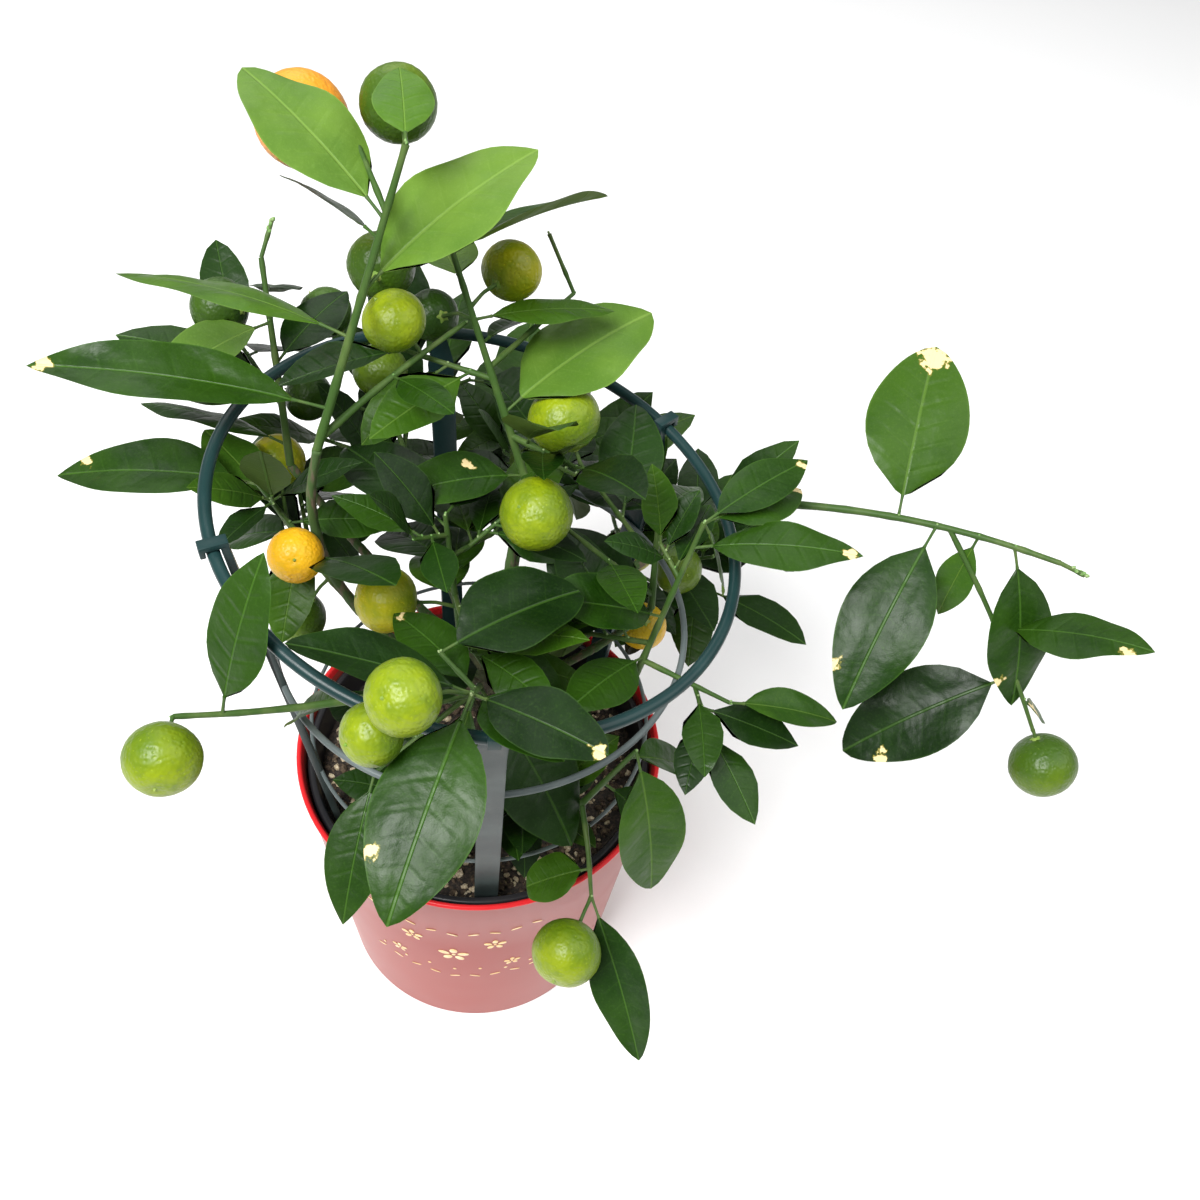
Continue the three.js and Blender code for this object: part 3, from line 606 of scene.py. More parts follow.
def rod(points: Sequence[Vector], foot: float, tip: float) -> Shell:
    """Return the shell of a limb whose radius runs evenly from foot to tip.

    Args:
        points: Its middle line.
        foot: Its radius at its foot.
        tip: Its radius at its tip.

    Returns:
        The shell.
    """
    rings = []
    across = Vector((0, 1, 0))
    last = len(points) - 1
    for index, point in enumerate(points):
        tangent = (points[min(index + 1, last)] - points[max(index - 1, 0)]).normalized()
        if index == 0 and abs(tangent.y) > 0.9:
            across = Vector((1, 0, 0))
        up = tangent.cross(across).normalized()
        across = up.cross(tangent).normalized()
        radius = foot + (tip - foot) * index / last
        rings.append([
            point - radius * (across * math.cos(angle) + up * math.sin(angle))
            for angle in (math.tau * side / ROD_SIDES for side in range(ROD_SIDES))
        ])
    return skin(rings)


OUTLINE = (0.66, 1.0, 0.74)
ROOT_HALF = 1.2
BLADE_FOLD = 6.0
LEAF_THICK = 0.02


def leaf_shell(root: Vector, plan: Leaf, outer: bool, swell: float = 0.0) -> Shell:
    """Return the plain shell of a leaf, which stands for it where clearance is tested.

    Args:
        root: Where the leaf's stalk leaves its twig.
        plan: The leaf.
        outer: Leave out the root, which is sunk in the twig.
        swell: How much thicker and wider it is made.

    Returns:
        The shell.
    """
    steps = len(OUTLINE) + 1
    arc = Twig(0, plan.turn, plan.rise, plan.length, -plan.droop)
    halves = [ROOT_HALF, *(0.5 * share * plan.wide * plan.length for share in OUTLINE), 0.0]
    level = heading(plan.turn - 90, 0)
    thick = max(LEAF_THICK * plan.length, 1.0)
    rings = []
    for index, point in enumerate(course(root, arc, steps)):
        upright = heading(plan.turn, plan.rise - plan.droop * (index / steps - 0.5) + 90)
        side, face = swing(level, upright, -plan.roll), swing(upright, level, plan.roll)
        half = halves[index]
        if half == 0:
            rings.append([point])
            continue
        reach = (half + swell) * math.cos(math.radians(BLADE_FOLD))
        lift = face * (half * math.sin(math.radians(BLADE_FOLD)) + swell)
        rings.append([point + side * reach + lift, point - face * (thick + swell), point - side * reach + lift])
    return skin(rings[1:] if outer else rings)


@dataclass
class Placed:
    """A solid that is there already: its owner, its kind, its faces and its box."""

    owner: str
    kind: str
    tree: BVHTree
    low: np.ndarray
    high: np.ndarray


class Room:
    """Everything placed so far, which what grows later keeps clear of."""

    def __init__(self) -> None:
        """Start empty."""
        self.placed: list[Placed] = []

    @staticmethod
    def stand_in(owner: str, kind: str, shell: Shell) -> Placed:
        """Return a shell with its faces and box ready to be tested."""
        points, faces = shell
        spots = np.array([tuple(point) for point in points])
        return Placed(owner, kind, BVHTree.FromPolygons(points, faces), spots.min(0), spots.max(0))

    def add(self, owner: str, kind: str, shell: Shell) -> None:
        """Remember a shell."""
        self.placed.append(self.stand_in(owner, kind, shell))

    def add_node(self, owner: str, node: bpy.types.Object) -> None:
        """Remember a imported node."""
        points = [vertex.co / MM for vertex in node.data.vertices]
        self.add(owner, "firm", (points, [tuple(face.vertices) for face in node.data.polygons]))

    def meets(self, shell: Shell, counts: Callable[[Placed], bool]) -> bool:
        """Return whether a shell meets any placed one.

        Args:
            shell: The shell.
            counts: Whether a placed one counts.

        Returns:
            Whether any that counts meets it.
        """
        new = self.stand_in("", "", shell)
        return any(
            counts(old) and (new.low <= old.high).all() and (old.low <= new.high).all()
            and bool(new.tree.overlap(old.tree))
            for old in self.placed
        )


# ------------------------------------------------------------------ joined meshes


class Joined:
    """Many small things gathered into one mesh."""

    def __init__(self) -> None:
        """Start empty."""
        self.points: list[np.ndarray] = []
        self.faces: list[tuple[int, ...]] = []
        self.slots: list[int] = []
        self.maps: dict[str, list[np.ndarray]] = {}
        self.count = 0

    def add(
        self,
        points: np.ndarray,
        faces: Iterable[Sequence[int]],
        slots: int | Sequence[int] = 0,
        **maps: np.ndarray,
    ) -> None:
        """Add one thing.

        Args:
            points: Its corners, in millimetres.
            faces: Its faces, numbered from its own first corner.
            slots: The material slot of the whole thing, or of each face.
            maps: Named maps with a place for each corner.
        """
        before = len(self.faces)
        self.faces += [tuple(self.count + index for index in face) for face in faces]
        added = len(self.faces) - before
        self.slots += [slots] * added if isinstance(slots, int) else list(slots)
        self.points.append(points)
        self.count += len(points)
        for name, places in maps.items():
            self.maps.setdefault(name, []).append(places)

    def build(self, name: str, materials: Sequence[bpy.types.Material], smooth: bool = True) -> bpy.types.Object:
        """Make the mesh.

        Args:
            name: The object's name.
            materials: One for each slot.
            smooth: Whether its faces are shaded smooth.

        Returns:
            The object that holds everything added.
        """
        mesh = bpy.data.meshes.new(name)
        mesh.from_pydata((np.concatenate(self.points) * MM).tolist(), [], self.faces)
        for material in materials:
            mesh.materials.append(material)
        mesh.polygons.foreach_set("material_index", self.slots)
        mesh.polygons.foreach_set("use_smooth", [smooth] * len(self.faces))
        corners = np.zeros(len(mesh.loops), int)
        mesh.loops.foreach_get("vertex_index", corners)
        for title, places in self.maps.items():
            layer = mesh.uv_layers.new(name=title)
            layer.data.foreach_set("uv", np.concatenate(places)[corners].ravel())
        mesh.update()
        return linked(name, mesh)


def linked(name: str, data: bpy.types.ID) -> bpy.types.Object:
    """Return a new object in the scene that shows some data."""
    made = bpy.data.objects.new(name, data)
    bpy.context.scene.collection.objects.link(made)
    return made


def pick_none() -> None:
    """Deselect everything."""
    bpy.ops.object.select_all(action="DESELECT")


def pick(target: bpy.types.Object) -> None:
    """Make one object the only selected one, and the active one."""
    pick_none()
    target.select_set(True)
    bpy.context.view_layer.objects.active = target


def finished(target: bpy.types.Object, kind: str, **settings: object) -> None:
    """Give an object a modifier and apply it.

    Args:
        target: The object.
        kind: The modifier's type.
        settings: The modifier's own settings.
    """
    pick(target)
    modifier = target.modifiers.new(kind.title(), kind)
    for name, value in settings.items():
        setattr(modifier, name, value)
    bpy.ops.object.modifier_apply(modifier=modifier.name)


def hand_over(piece: bpy.types.Object, slot: str, *nodes: str) -> None:
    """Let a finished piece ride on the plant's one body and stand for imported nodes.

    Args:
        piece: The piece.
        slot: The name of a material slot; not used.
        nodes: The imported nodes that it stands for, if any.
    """
    if nodes:
        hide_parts(*nodes)
    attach(piece, BODY)
    LOG.info("%s: %d faces", piece.name, len(piece.data.polygons))


def turned(name: str, profile: Sequence[tuple[float, float]], steps: int) -> bpy.types.Object:
    """Return a closed body turned about the upright axis.

    Args:
        name: The object's name.
        profile: Radius and height of each corner, in millimetres, from the axis round to the axis.
        steps: How many steps the turn has.

    Returns:
        The object, smooth but for its sharp corners.
    """
    mesh = bpy.data.meshes.new(name)
    edges = [(index, index + 1) for index in range(len(profile) - 1)]
    mesh.from_pydata([(radius * MM, 0, height * MM) for radius, height in profile], edges, [])
    made = linked(name, mesh)
    pick(made)
    bpy.ops.object.mode_set(mode="EDIT")
    bpy.ops.mesh.select_all(action="SELECT")
    bpy.ops.mesh.spin(steps=steps, angle=math.tau, center=(0, 0, 0), axis=(0, 0, 1))
    bpy.ops.mesh.select_all(action="SELECT")
    bpy.ops.mesh.remove_doubles(threshold=1e-6)
    bpy.ops.mesh.normals_make_consistent(inside=False)
    bpy.ops.object.mode_set(mode="OBJECT")
    bpy.ops.object.shade_smooth_by_angle(angle=math.radians(40))
    return made


def tubes(
    name: str, limbs: Sequence[tuple[Sequence[Vector], Sequence[float], int]], round_steps: int
) -> bpy.types.Object:
    """Return one mesh of closed round limbs.

    Args:
        name: The object's name.
        limbs: Each limb's points and radii, in millimetres, and its material slot.
        round_steps: How finely each limb is rounded.

    Returns:
        The object.
    """
    curve = bpy.data.curves.new(name, "CURVE")
    curve.dimensions = "3D"
    curve.bevel_depth = MM
    curve.bevel_resolution = round_steps
    curve.use_fill_caps = True
    for points, radii, slot in limbs:
        spline = curve.splines.new("POLY")
        spline.points.add(len(points) - 1)
        spline.points.foreach_set("co", [value for point in points for value in (*(point * MM), 1)])
        spline.points.foreach_set("radius", list(radii))
        spline.material_index = slot
        spline.use_smooth = True
    for _ in Age:
        curve.materials.append(None)
    made = linked(name, curve)
    pick(made)
    bpy.ops.object.convert(target="MESH")
    return bpy.context.view_layer.objects.active


# ------------------------------------------------------------------ materials


class Sketch:
    """Lays out the nodes of one material."""

    def __init__(self, name: str) -> None:
        """Start a material with its shader and output."""
        self.material = bpy.data.materials.new(name)
        self.material.use_nodes = True
        self.tree = self.material.node_tree
        self.tree.nodes.clear()
        self.shader = self.add("BsdfPrincipled")
        self.add("OutputMaterial", {"Surface": self.shader.outputs[0]})
        self.place = self.add("TexCoord").outputs["Object"]

    def add(self, kind: str, sockets: dict[str | int, object] | None = None, **settings: object) -> bpy.types.Node:
        """Return a new node.

        Args:
            kind: The node's type, without its prefix.
            sockets: A value, or another node's output, for each named input.
            settings: The node's own settings.

        Returns:
            The node.
        """
        node = self.tree.nodes.new(f"ShaderNode{kind}")
        for name, value in settings.items():
            setattr(node, name, value)
        for name, value in (sockets or {}).items():
            if isinstance(value, bpy.types.NodeSocket):
                self.tree.links.new(value, node.inputs[name])
            else:
                node.inputs[name].default_value = value
        return node

    def split(self, uv_map: str) -> tuple[bpy.types.NodeSocket, bpy.types.NodeSocket]:
        """Return both parts of a place on the piece's own map."""
        parts = self.add("SeparateXYZ", {"Vector": self.add("UVMap", uv_map=uv_map).outputs[0]}).outputs
        return parts[0], parts[1]

    def noise(self, scale: float, detail: float = 3.0, stretch: Colour = (1, 1, 1)) -> bpy.types.NodeSocket:
        """Return a noise on the object's own coordinates; scale is in turns a metre."""
        scaled = self.add("Mapping", {"Vector": self.place, "Scale": stretch}).outputs[0]
        return self.add("TexNoise", {"Vector": scaled, "Scale": scale, "Detail": detail}).outputs["Fac"]

    def math(self, operation: str, *values: object) -> bpy.types.NodeSocket:
        """Return the result of a sum on sockets or numbers."""
        return self.add("Math", dict(enumerate(values)), operation=operation).outputs[0]

    def step(self, value: bpy.types.NodeSocket, low: float, high: float) -> bpy.types.NodeSocket:
        """Return 0 to 1 as a value passes smoothly from low to high, which may be the lower one."""
        return self.add(
            "MapRange", {"Value": value, "From Min": low, "From Max": high}, interpolation_type="SMOOTHSTEP"
        ).outputs[0]

    def mix(self, share: object, first: object, second: object) -> bpy.types.NodeSocket:
        """Return a mix of two colours."""
        first, second = (
            value if isinstance(value, bpy.types.NodeSocket) else (*value, 1.0) for value in (first, second)
        )
        return self.add("Mix", {0: share, 6: first, 7: second}, data_type="RGBA").outputs[2]

    def bump(self, height: object, distance: float, onto: object = None) -> bpy.types.NodeSocket:
        """Return a raised normal.

        Args:
            height: The socket that raises it.
            distance: How far, in metres.
            onto: Another normal that it lies over, if any.

        Returns:
            The normal.
        """
        sockets = {"Height": height, "Distance": distance, "Strength": 1.0}
        if onto is not None:
            sockets["Normal"] = onto
        return self.add("Bump", sockets).outputs[0]

    def done(self, colour: object, roughness: object, normal: object = None, **fixed: float) -> bpy.types.Material:
        """Finish the shader and return the material.

        Args:
            colour: The base colour, as a socket or three numbers.
            roughness: A socket or a number.
            normal: The bumped normal, if any.
            fixed: Numbers for the shader's own sockets, with _ for a space in their names.

        Returns:
            The material.
        """
        for name, value in {"Base Color": colour, "Roughness": roughness, "Normal": normal}.items():
            if isinstance(value, bpy.types.NodeSocket):
                self.tree.links.new(value, self.shader.inputs[name])
            elif value is not None:
                self.shader.inputs[name].default_value = (*value, 1.0) if name == "Base Color" else value
        for name, value in fixed.items():
            self.shader.inputs[name.replace("_", " ")].default_value = value
        return self.material


@dataclass(frozen=True)
class LeafFinish:
    """The upper and under side of leaves of one tint."""

    tint: Tint
    blade: Colour
    shade: Colour
    vein: Colour
    under: Colour
    roughness: float = 0.36

    VEINS = 7
    DRY = (0.66, 0.52, 0.27)
    HALO = (0.16, 0.15, 0.02)

    def upper(self) -> bpy.types.Material:
        """Return the glossy upper side, with its veins, pale margin and dry blemishes."""
        s = Sketch(f"leaf_{self.tint.value}_upper")
        (along_u, along_v), (reach, chance) = s.split("blade"), s.split("edge")
        across = s.math("ABSOLUTE", s.math("SUBTRACT", along_u, 0.5))
        rib = s.step(across, 0.022, 0.006)
        wave = s.math("PINGPONG", s.math("MULTIPLY", along_v, float(self.VEINS)), 0.5)
        side = s.math("MULTIPLY", s.step(wave, 0.05, 0.0), s.step(reach, 0.95, 0.3))
        groove = s.math("MULTIPLY", s.math("MULTIPLY", s.step(wave, 0.2, 0.0), s.step(reach, 1.0, 0.5)), chance)
        cloud = s.noise(48.0)
        tone = s.math("ADD", s.math("MULTIPLY", cloud, 0.8), s.math("MULTIPLY", chance, 0.35))
        colour = s.mix(s.step(tone, 0.35, 0.8), self.shade, self.blade)
        colour = s.mix(s.math("MULTIPLY", s.step(s.noise(1100.0), 0.5, 0.75), 0.12), colour, self.vein)
        colour = s.mix(s.math("MULTIPLY", side, 0.08), colour, self.vein)
        colour = s.mix(s.math("MULTIPLY", rib, 0.42), colour, self.vein)
        colour = s.mix(s.math("MULTIPLY", s.step(reach, 0.95, 1.0), 0.3), colour, self.vein)
        far = s.add("VectorMath", {0: s.add("UVMap", uv_map="blemish").outputs[0]}, operation="LENGTH")
        torn = s.math("ADD", far.outputs["Value"], s.math("MULTIPLY", s.noise(420.0, 4.0), 2.2))
        colour = s.mix(s.step(torn, 1.95, 1.8), colour, self.HALO)
        colour = s.mix(s.step(torn, 1.8, 1.66), colour, self.DRY)
        normal = s.bump(s.math("ADD", rib, groove), -0.0002)
        normal = s.bump(s.noise(130.0, 2.0), 0.0007, normal)
        normal = s.bump(s.noise(1500.0, 2.0), 0.00005, normal)
        rough = s.math("ADD", s.math("MULTIPLY", s.noise(95.0), 0.3), self.roughness - 0.1)
        return s.done(colour, rough, normal, Specular_IOR_Level=0.2)

    def lower(self) -> bpy.types.Material:
        """Return the paler, matt under side."""
        s = Sketch(f"leaf_{self.tint.value}_under")
        along_u, along_v = s.split("blade")
        rib = s.step(s.math("ABSOLUTE", s.math("SUBTRACT", along_u, 0.5)), 0.04, 0.015)
        wave = s.math("PINGPONG", s.math("MULTIPLY", along_v, float(self.VEINS)), 0.5)
        veins = s.math("MAXIMUM", rib, s.math("MULTIPLY", s.step(wave, 0.07, 0.0), 0.4))
        colour = s.mix(s.math("MULTIPLY", s.noise(60.0), 0.5), self.under, self.blade)
        colour = s.mix(s.math("MULTIPLY", veins, 0.4), colour, self.vein)
        return s.done(colour, 0.6, s.bump(veins, 0.0003), Specular_IOR_Level=0.12)


LEAF_FINISHES = (
    LeafFinish(Tint.DEEP, (0.008, 0.030, 0.002), (0.003, 0.014, 0.001), (0.045, 0.11, 0.014), (0.050, 0.085, 0.015)),
    LeafFinish(Tint.DARK, (0.016, 0.050, 0.002), (0.006, 0.026, 0.001), (0.06, 0.15, 0.016), (0.080, 0.13, 0.022)),
    LeafFinish(Tint.MID, (0.030, 0.080, 0.003), (0.014, 0.048, 0.002), (0.10, 0.19, 0.025), (0.115, 0.18, 0.03)),
    LeafFinish(Tint.FRESH, (0.056, 0.130, 0.008), (0.030, 0.086, 0.006), (0.14, 0.25, 0.035), (0.14, 0.22, 0.04), 0.4),
    LeafFinish(Tint.YOUNG, (0.096, 0.180, 0.019), (0.058, 0.128, 0.012), (0.17, 0.28, 0.05), (0.15, 0.24, 0.05), 0.42),
)


@dataclass(frozen=True)
class FruitFinish:
    """The pebbled rind of fruits of one ripeness: the colour at the stalk and on the cheek."""

    ripe: Ripe
    shoulder: Colour
    cheek: Colour

    def material(self) -> bpy.types.Material:
        """Return the rind, with its oil glands."""
        s = Sketch(f"rind_{self.ripe.value}")
        _, down = s.split("rind")
        blush = s.math("ADD", s.math("MULTIPLY", down, 0.4), s.math("MULTIPLY", s.noise(46.0), 0.95))
        cells = s.add("TexVoronoi", {"Vector": s.place, "Scale": 760.0}, feature="SMOOTH_F1").outputs["Distance"]
        colour = s.mix(s.step(blush, 0.4, 0.95), self.shoulder, self.cheek)
        colour = s.mix(s.math("MULTIPLY", s.step(s.noise(230.0), 0.42, 0.7), 0.4), colour, self.shoulder)
        pale = tuple(min(1.0, value * 1.3 + 0.01) for value in self.cheek)
        colour = s.mix(s.math("MULTIPLY", s.step(cells, 0.2, 0.05), 0.4), colour, pale)
        colour = s.mix(s.math("MULTIPLY", s.step(down, 0.06, 0.0), 0.6), colour, self.shoulder)
        normal = s.bump(cells, 0.0003)
        normal = s.bump(s.noise(300.0), 0.0001, normal)
        rough = s.math("ADD", s.math("MULTIPLY", s.noise(420.0), 0.16), 0.32)
        return s.done(colour, rough, normal, Specular_IOR_Level=0.3)


FRUIT_FINISHES = (
    FruitFinish(Ripe.DARK, (0.016, 0.050, 0.004), (0.040, 0.092, 0.006)),
    FruitFinish(Ripe.GREEN, (0.034, 0.080, 0.004), (0.090, 0.15, 0.005)),
    FruitFinish(Ripe.LIME, (0.062, 0.122, 0.003), (0.20, 0.26, 0.003)),
    FruitFinish(Ripe.GOLDEN, (0.14, 0.20, 0.003), (0.46, 0.38, 0.005)),
    FruitFinish(Ripe.YELLOW, (0.42, 0.29, 0.006), (0.72, 0.36, 0.008)),
    FruitFinish(Ripe.ORANGE, (0.60, 0.25, 0.015), (0.74, 0.26, 0.018)),
)


@dataclass(frozen=True)
class SkinFinish:
    """The skin of twigs and stalks."""

    name: str
    colour: Colour
    patch: Colour
    scale: float = 120.0
    roughness: float = 0.5

    def material(self) -> bpy.types.Material:
        """Return the skin, streaked along the plant's height."""
        s = Sketch(self.name)
        streak = s.noise(self.scale, 4.0, (1, 1, 0.3))
        colour = s.mix(s.step(streak, 0.4, 0.68), self.colour, self.patch)
        return s.done(colour, self.roughness, s.bump(s.noise(1400.0, 2.0, (1, 1, 0.4)), 0.0001), Specular_IOR_Level=0.2)


TWIG_FINISHES = (
    SkinFinish("twig_mature", (0.035, 0.080, 0.014), (0.075, 0.120, 0.030)),
    SkinFinish("twig_green", (0.038, 0.100, 0.012), (0.070, 0.145, 0.022)),
    SkinFinish("twig_stalk", (0.060, 0.140, 0.015), (0.095, 0.185, 0.026)),
    SkinFinish("twig_dead", (0.16, 0.10, 0.045), (0.25, 0.18, 0.09)),
)
BUD_FINISH = SkinFinish("bud_scale", (0.13, 0.26, 0.07), (0.30, 0.38, 0.18), 500.0)
CALYX_FINISH = SkinFinish("calyx_skin", (0.15, 0.26, 0.04), (0.26, 0.32, 0.08), 500.0, 0.6)


@dataclass(frozen=True)
class BarkFinish:
    """Grey-brown bark on the trunk that turns green up the boughs."""

    old: Colour = (0.115, 0.088, 0.055)
    furrow: Colour = (0.03, 0.024, 0.016)
    young: Colour = (0.04, 0.085, 0.016)
    turns_at: tuple[float, float] = (0.185, 0.24)

    def material(self) -> bpy.types.Material:
        """Return the bark."""
        s = Sketch("bark_skin")
        height = s.add("SeparateXYZ", {"Vector": s.place}).outputs[2]
        green = s.step(s.math("ADD", height, s.math("MULTIPLY", s.noise(70.0), 0.02)), *self.turns_at)
        crack = s.noise(420.0, 5.0, (1, 1, 0.22))
        colour = s.mix(s.step(crack, 0.42, 0.6), self.furrow, self.old)
        colour = s.mix(green, colour, s.mix(s.step(crack, 0.36, 0.52), self.old, self.young))
        return s.done(colour, 0.8, s.bump(crack, 0.0004))


@dataclass(frozen=True)
class PlasticFinish:
    """Moulded plastic: one colour with a faint cloud in it and a fine skin, and maybe a painted shade over its head."""

    name: str
    colour: Colour
    worn: Colour
    roughness: float = 0.35
    grain: float = 0.00003
    # head: painted shade, a darker colour laid over everything above a height
    head: Colour | None = None
    painted_shade_from: float = 0.291

    def material(self) -> bpy.types.Material:
        """Return the plastic; above a height its head may take a darker colour, a painted shade."""
        s = Sketch(self.name)
        colour = s.mix(s.step(s.noise(38.0), 0.4, 0.75), self.colour, self.worn)
        # Painted shade: the head colour over all that stands above the height.
        if self.head:
            height = s.add("SeparateXYZ", {"Vector": s.place}).outputs[2]
            colour = s.mix(s.step(height, self.painted_shade_from, self.painted_shade_from + 0.004), colour, self.head)
        rough = s.math("ADD", s.math("MULTIPLY", s.noise(160.0), 0.14), self.roughness - 0.07)
        return s.done(colour, rough, s.bump(s.noise(2600.0, 2.0), self.grain), Specular_IOR_Level=0.25)


@dataclass(frozen=True)
class CoverFinish:
    """Glossy red plastic that is fully red on the rim and paler down the body."""

    rim: Colour = (0.58, 0.018, 0.022)
    body: Colour = (0.27, 0.040, 0.030)
    low: Colour = (0.31, 0.050, 0.036)
    rim_from: float = 0.1515

    def material(self) -> bpy.types.Material:
        """Return the plastic."""
        s = Sketch("cover_gloss")
        height = s.add("SeparateXYZ", {"Vector": s.place}).outputs[2]
        colour = s.mix(s.step(height, 0.0, 0.14), self.low, self.body)
        colour = s.mix(s.math("MULTIPLY", s.noise(26.0), 0.12), colour, self.low)
        colour = s.mix(s.step(height, self.rim_from, self.rim_from + 0.0008), colour, self.rim)
        return s.done(colour, 0.3, s.bump(s.noise(22.0, 1.0), 0.0006), Specular_IOR_Level=0.16)


@dataclass(frozen=True)
class GritFinish:
    """The loose mix in the pot: a dark base or its pale granules."""

    name: str
    colour: Colour
    fleck: Colour

    def material(self) -> bpy.types.Material:
        """Return the dull, damp surface."""
        s = Sketch(self.name)
        colour = s.mix(s.step(s.noise(700.0, 4.0), 0.45, 0.62), self.colour, self.fleck)
        return s.done(colour, 0.85, s.bump(s.noise(1500.0, 4.0), 0.0005))


@dataclass(frozen=True)
class FoilFinish:
    """Pale gold print."""

    colour: Colour = (0.78, 0.55, 0.27)

    def material(self) -> bpy.types.Material:
        """Return the foil."""
        s = Sketch("gold_foil")
        colour = s.mix(s.step(s.noise(180.0), 0.4, 0.7), self.colour, (0.86, 0.68, 0.42))
        return s.done(colour, 0.42, s.bump(s.noise(900.0), 0.00004), Metallic=0.35)


# ------------------------------------------------------------------ pots, soil and trellis


@dataclass
class CoverPot:
    """The red cover pot with its rolled rim and its gold print."""

    sizes: CoverSizes = field(default_factory=CoverSizes)
    layout: PrintSizes = field(default_factory=PrintSizes)

    def radius_at(self, height: float) -> float:
        """Return the outside radius at a height."""
        z = self.sizes
        return z.foot + (z.body_top - z.foot) * height / z.height

    def build(self) -> None:
        """Turn the pot, and lay the print on it."""
        z = self.sizes
        out, up, radius = z.rim - z.bead / 2, z.height - z.bead / 2, z.bead / 2
        bead = [
            (out + radius * math.cos(math.radians(angle)), up + radius * math.sin(math.radians(angle)))
            for angle in range(-60, 181, 30)
        ]
        inner = z.body_top - z.wall
        profile = [
            (0, z.recess), (z.foot - z.ring[0], z.recess), (z.foot - z.ring[1], 0),
            (z.foot - z.recess, 0), (z.foot, z.recess),
            (self.radius_at(50), 50), (self.radius_at(100), 100), (self.radius_at(z.height - 5), z.height - 5),
            *bead, (inner, z.height - z.bead), (z.foot - z.wall, z.floor + 2),
            (z.foot - z.wall - 2, z.floor), (0, z.floor),
        ]
        pot = turned("cover_pot", profile, z.steps)
        pot.data.materials.append(CoverFinish().material())
        hand_over(pot, "cover_pot", "pot_cover")
        self.lay_print()

    def wrap(self, outline: np.ndarray, around: float, height: float) -> np.ndarray:
        """Return flat points laid on the pot's front, round a place on it.

        Args:
            outline: Points across and up, in millimetres.
            around: How far the place is from the middle of the front, along the wall.
            height: The place's height.

        Returns:
            A point in space for each flat one.
        """
        up = outline[:, 1] + height
        radius = self.radius_at(up) + self.layout.lift
        angle = (outline[:, 0] + around) / self.radius_at(height) - math.pi / 2
        return np.stack([radius * np.cos(angle), radius * np.sin(angle), up], 1)

    def oval(self, wide: float, high: float, turn: float = 0.0, out: float = 0.0) -> np.ndarray:
        """Return an oval, moved out from the origin and turned about it.

        Args:
            wide: Half its length, along the way out.
            high: Half its height.
            turn: The way out, in degrees.
            out: How far out its centre is.

        Returns:
            Its corners, across and up.
        """
        angles = np.arange(self.layout.corners) * math.tau / self.layout.corners
        x, y = out + wide * np.cos(angles), high * np.sin(angles)
        c, s = math.cos(math.radians(turn)), math.sin(math.radians(turn))
        return np.stack([x * c - y * s, x * s + y * c], 1)

    def blossom(self, size: float) -> list[np.ndarray]:
        """Return five petals round a dot."""
        petals = [self.oval(size * 0.3, size * 0.2, 90 + 72 * petal, size * 0.52) for petal in range(5)]
        return [*petals, self.oval(size * 0.1, size * 0.1)]

    def lay_print(self) -> None:
        """Lay out blossoms, dots and dashes, and give them their thickness."""
        z = self.layout
        motifs: list[tuple[float, float, list[np.ndarray]]] = []
        for around, height, size in z.blossoms:
            motifs.append((around, height, self.blossom(size)))
        for row, height in enumerate(z.dash_rows):
            for index in range(-4, 5):
                dash = self.oval(*z.dash, z.dash_slant * (-1) ** (index + row))
                motifs.append((index * z.dash_pitch, height + z.dash_rise * abs(index), [dash]))
        for index in range(-3, 4):
            motifs.append((index * z.dot_pitch, z.dot_row + z.dot_rise * (index % 2), [self.oval(z.dot, z.dot)]))
        gathered = Joined()
        for around, height, outlines in motifs:
            for outline in outlines:
                gathered.add(self.wrap(outline, around, height), [tuple(range(len(outline)))])
        foil = gathered.build("gold_print", [FoilFinish().material()])
        finished(foil, "SOLIDIFY", thickness=z.thick * MM, offset=1.0)
        hand_over(foil, "gold_print")


@dataclass
class NurseryPot:
    """The thin black pot that the plant grows in."""

    sizes: NurserySizes = field(default_factory=NurserySizes)

    def build(self) -> None:
        """Turn the pot, with a rolled lip."""
        z = self.sizes
        profile = [
            (0, z.low), (z.foot - 1, z.low), (z.foot, z.low + 1), (z.body_top, z.top - z.lip),
            (z.rim, z.top - z.lip + 0.5), (z.rim, z.top - 1), (z.rim - 0.5, z.top - 0.3), (z.rim - 1.2, z.top),
            (z.body_top - z.wall + 0.8, z.top - 0.3), (z.body_top - z.wall, z.top - 1.6),
            (z.foot - z.wall, z.low + z.wall), (0, z.low + z.wall),
        ]
        pot = turned("nursery_pot", profile, z.steps)
        plastic = PlasticFinish("nursery_plastic", (0.012, 0.012, 0.014), (0.022, 0.02, 0.022))
        pot.data.materials.append(plastic.material())
        hand_over(pot, "nursery_pot", "pot_nursery")


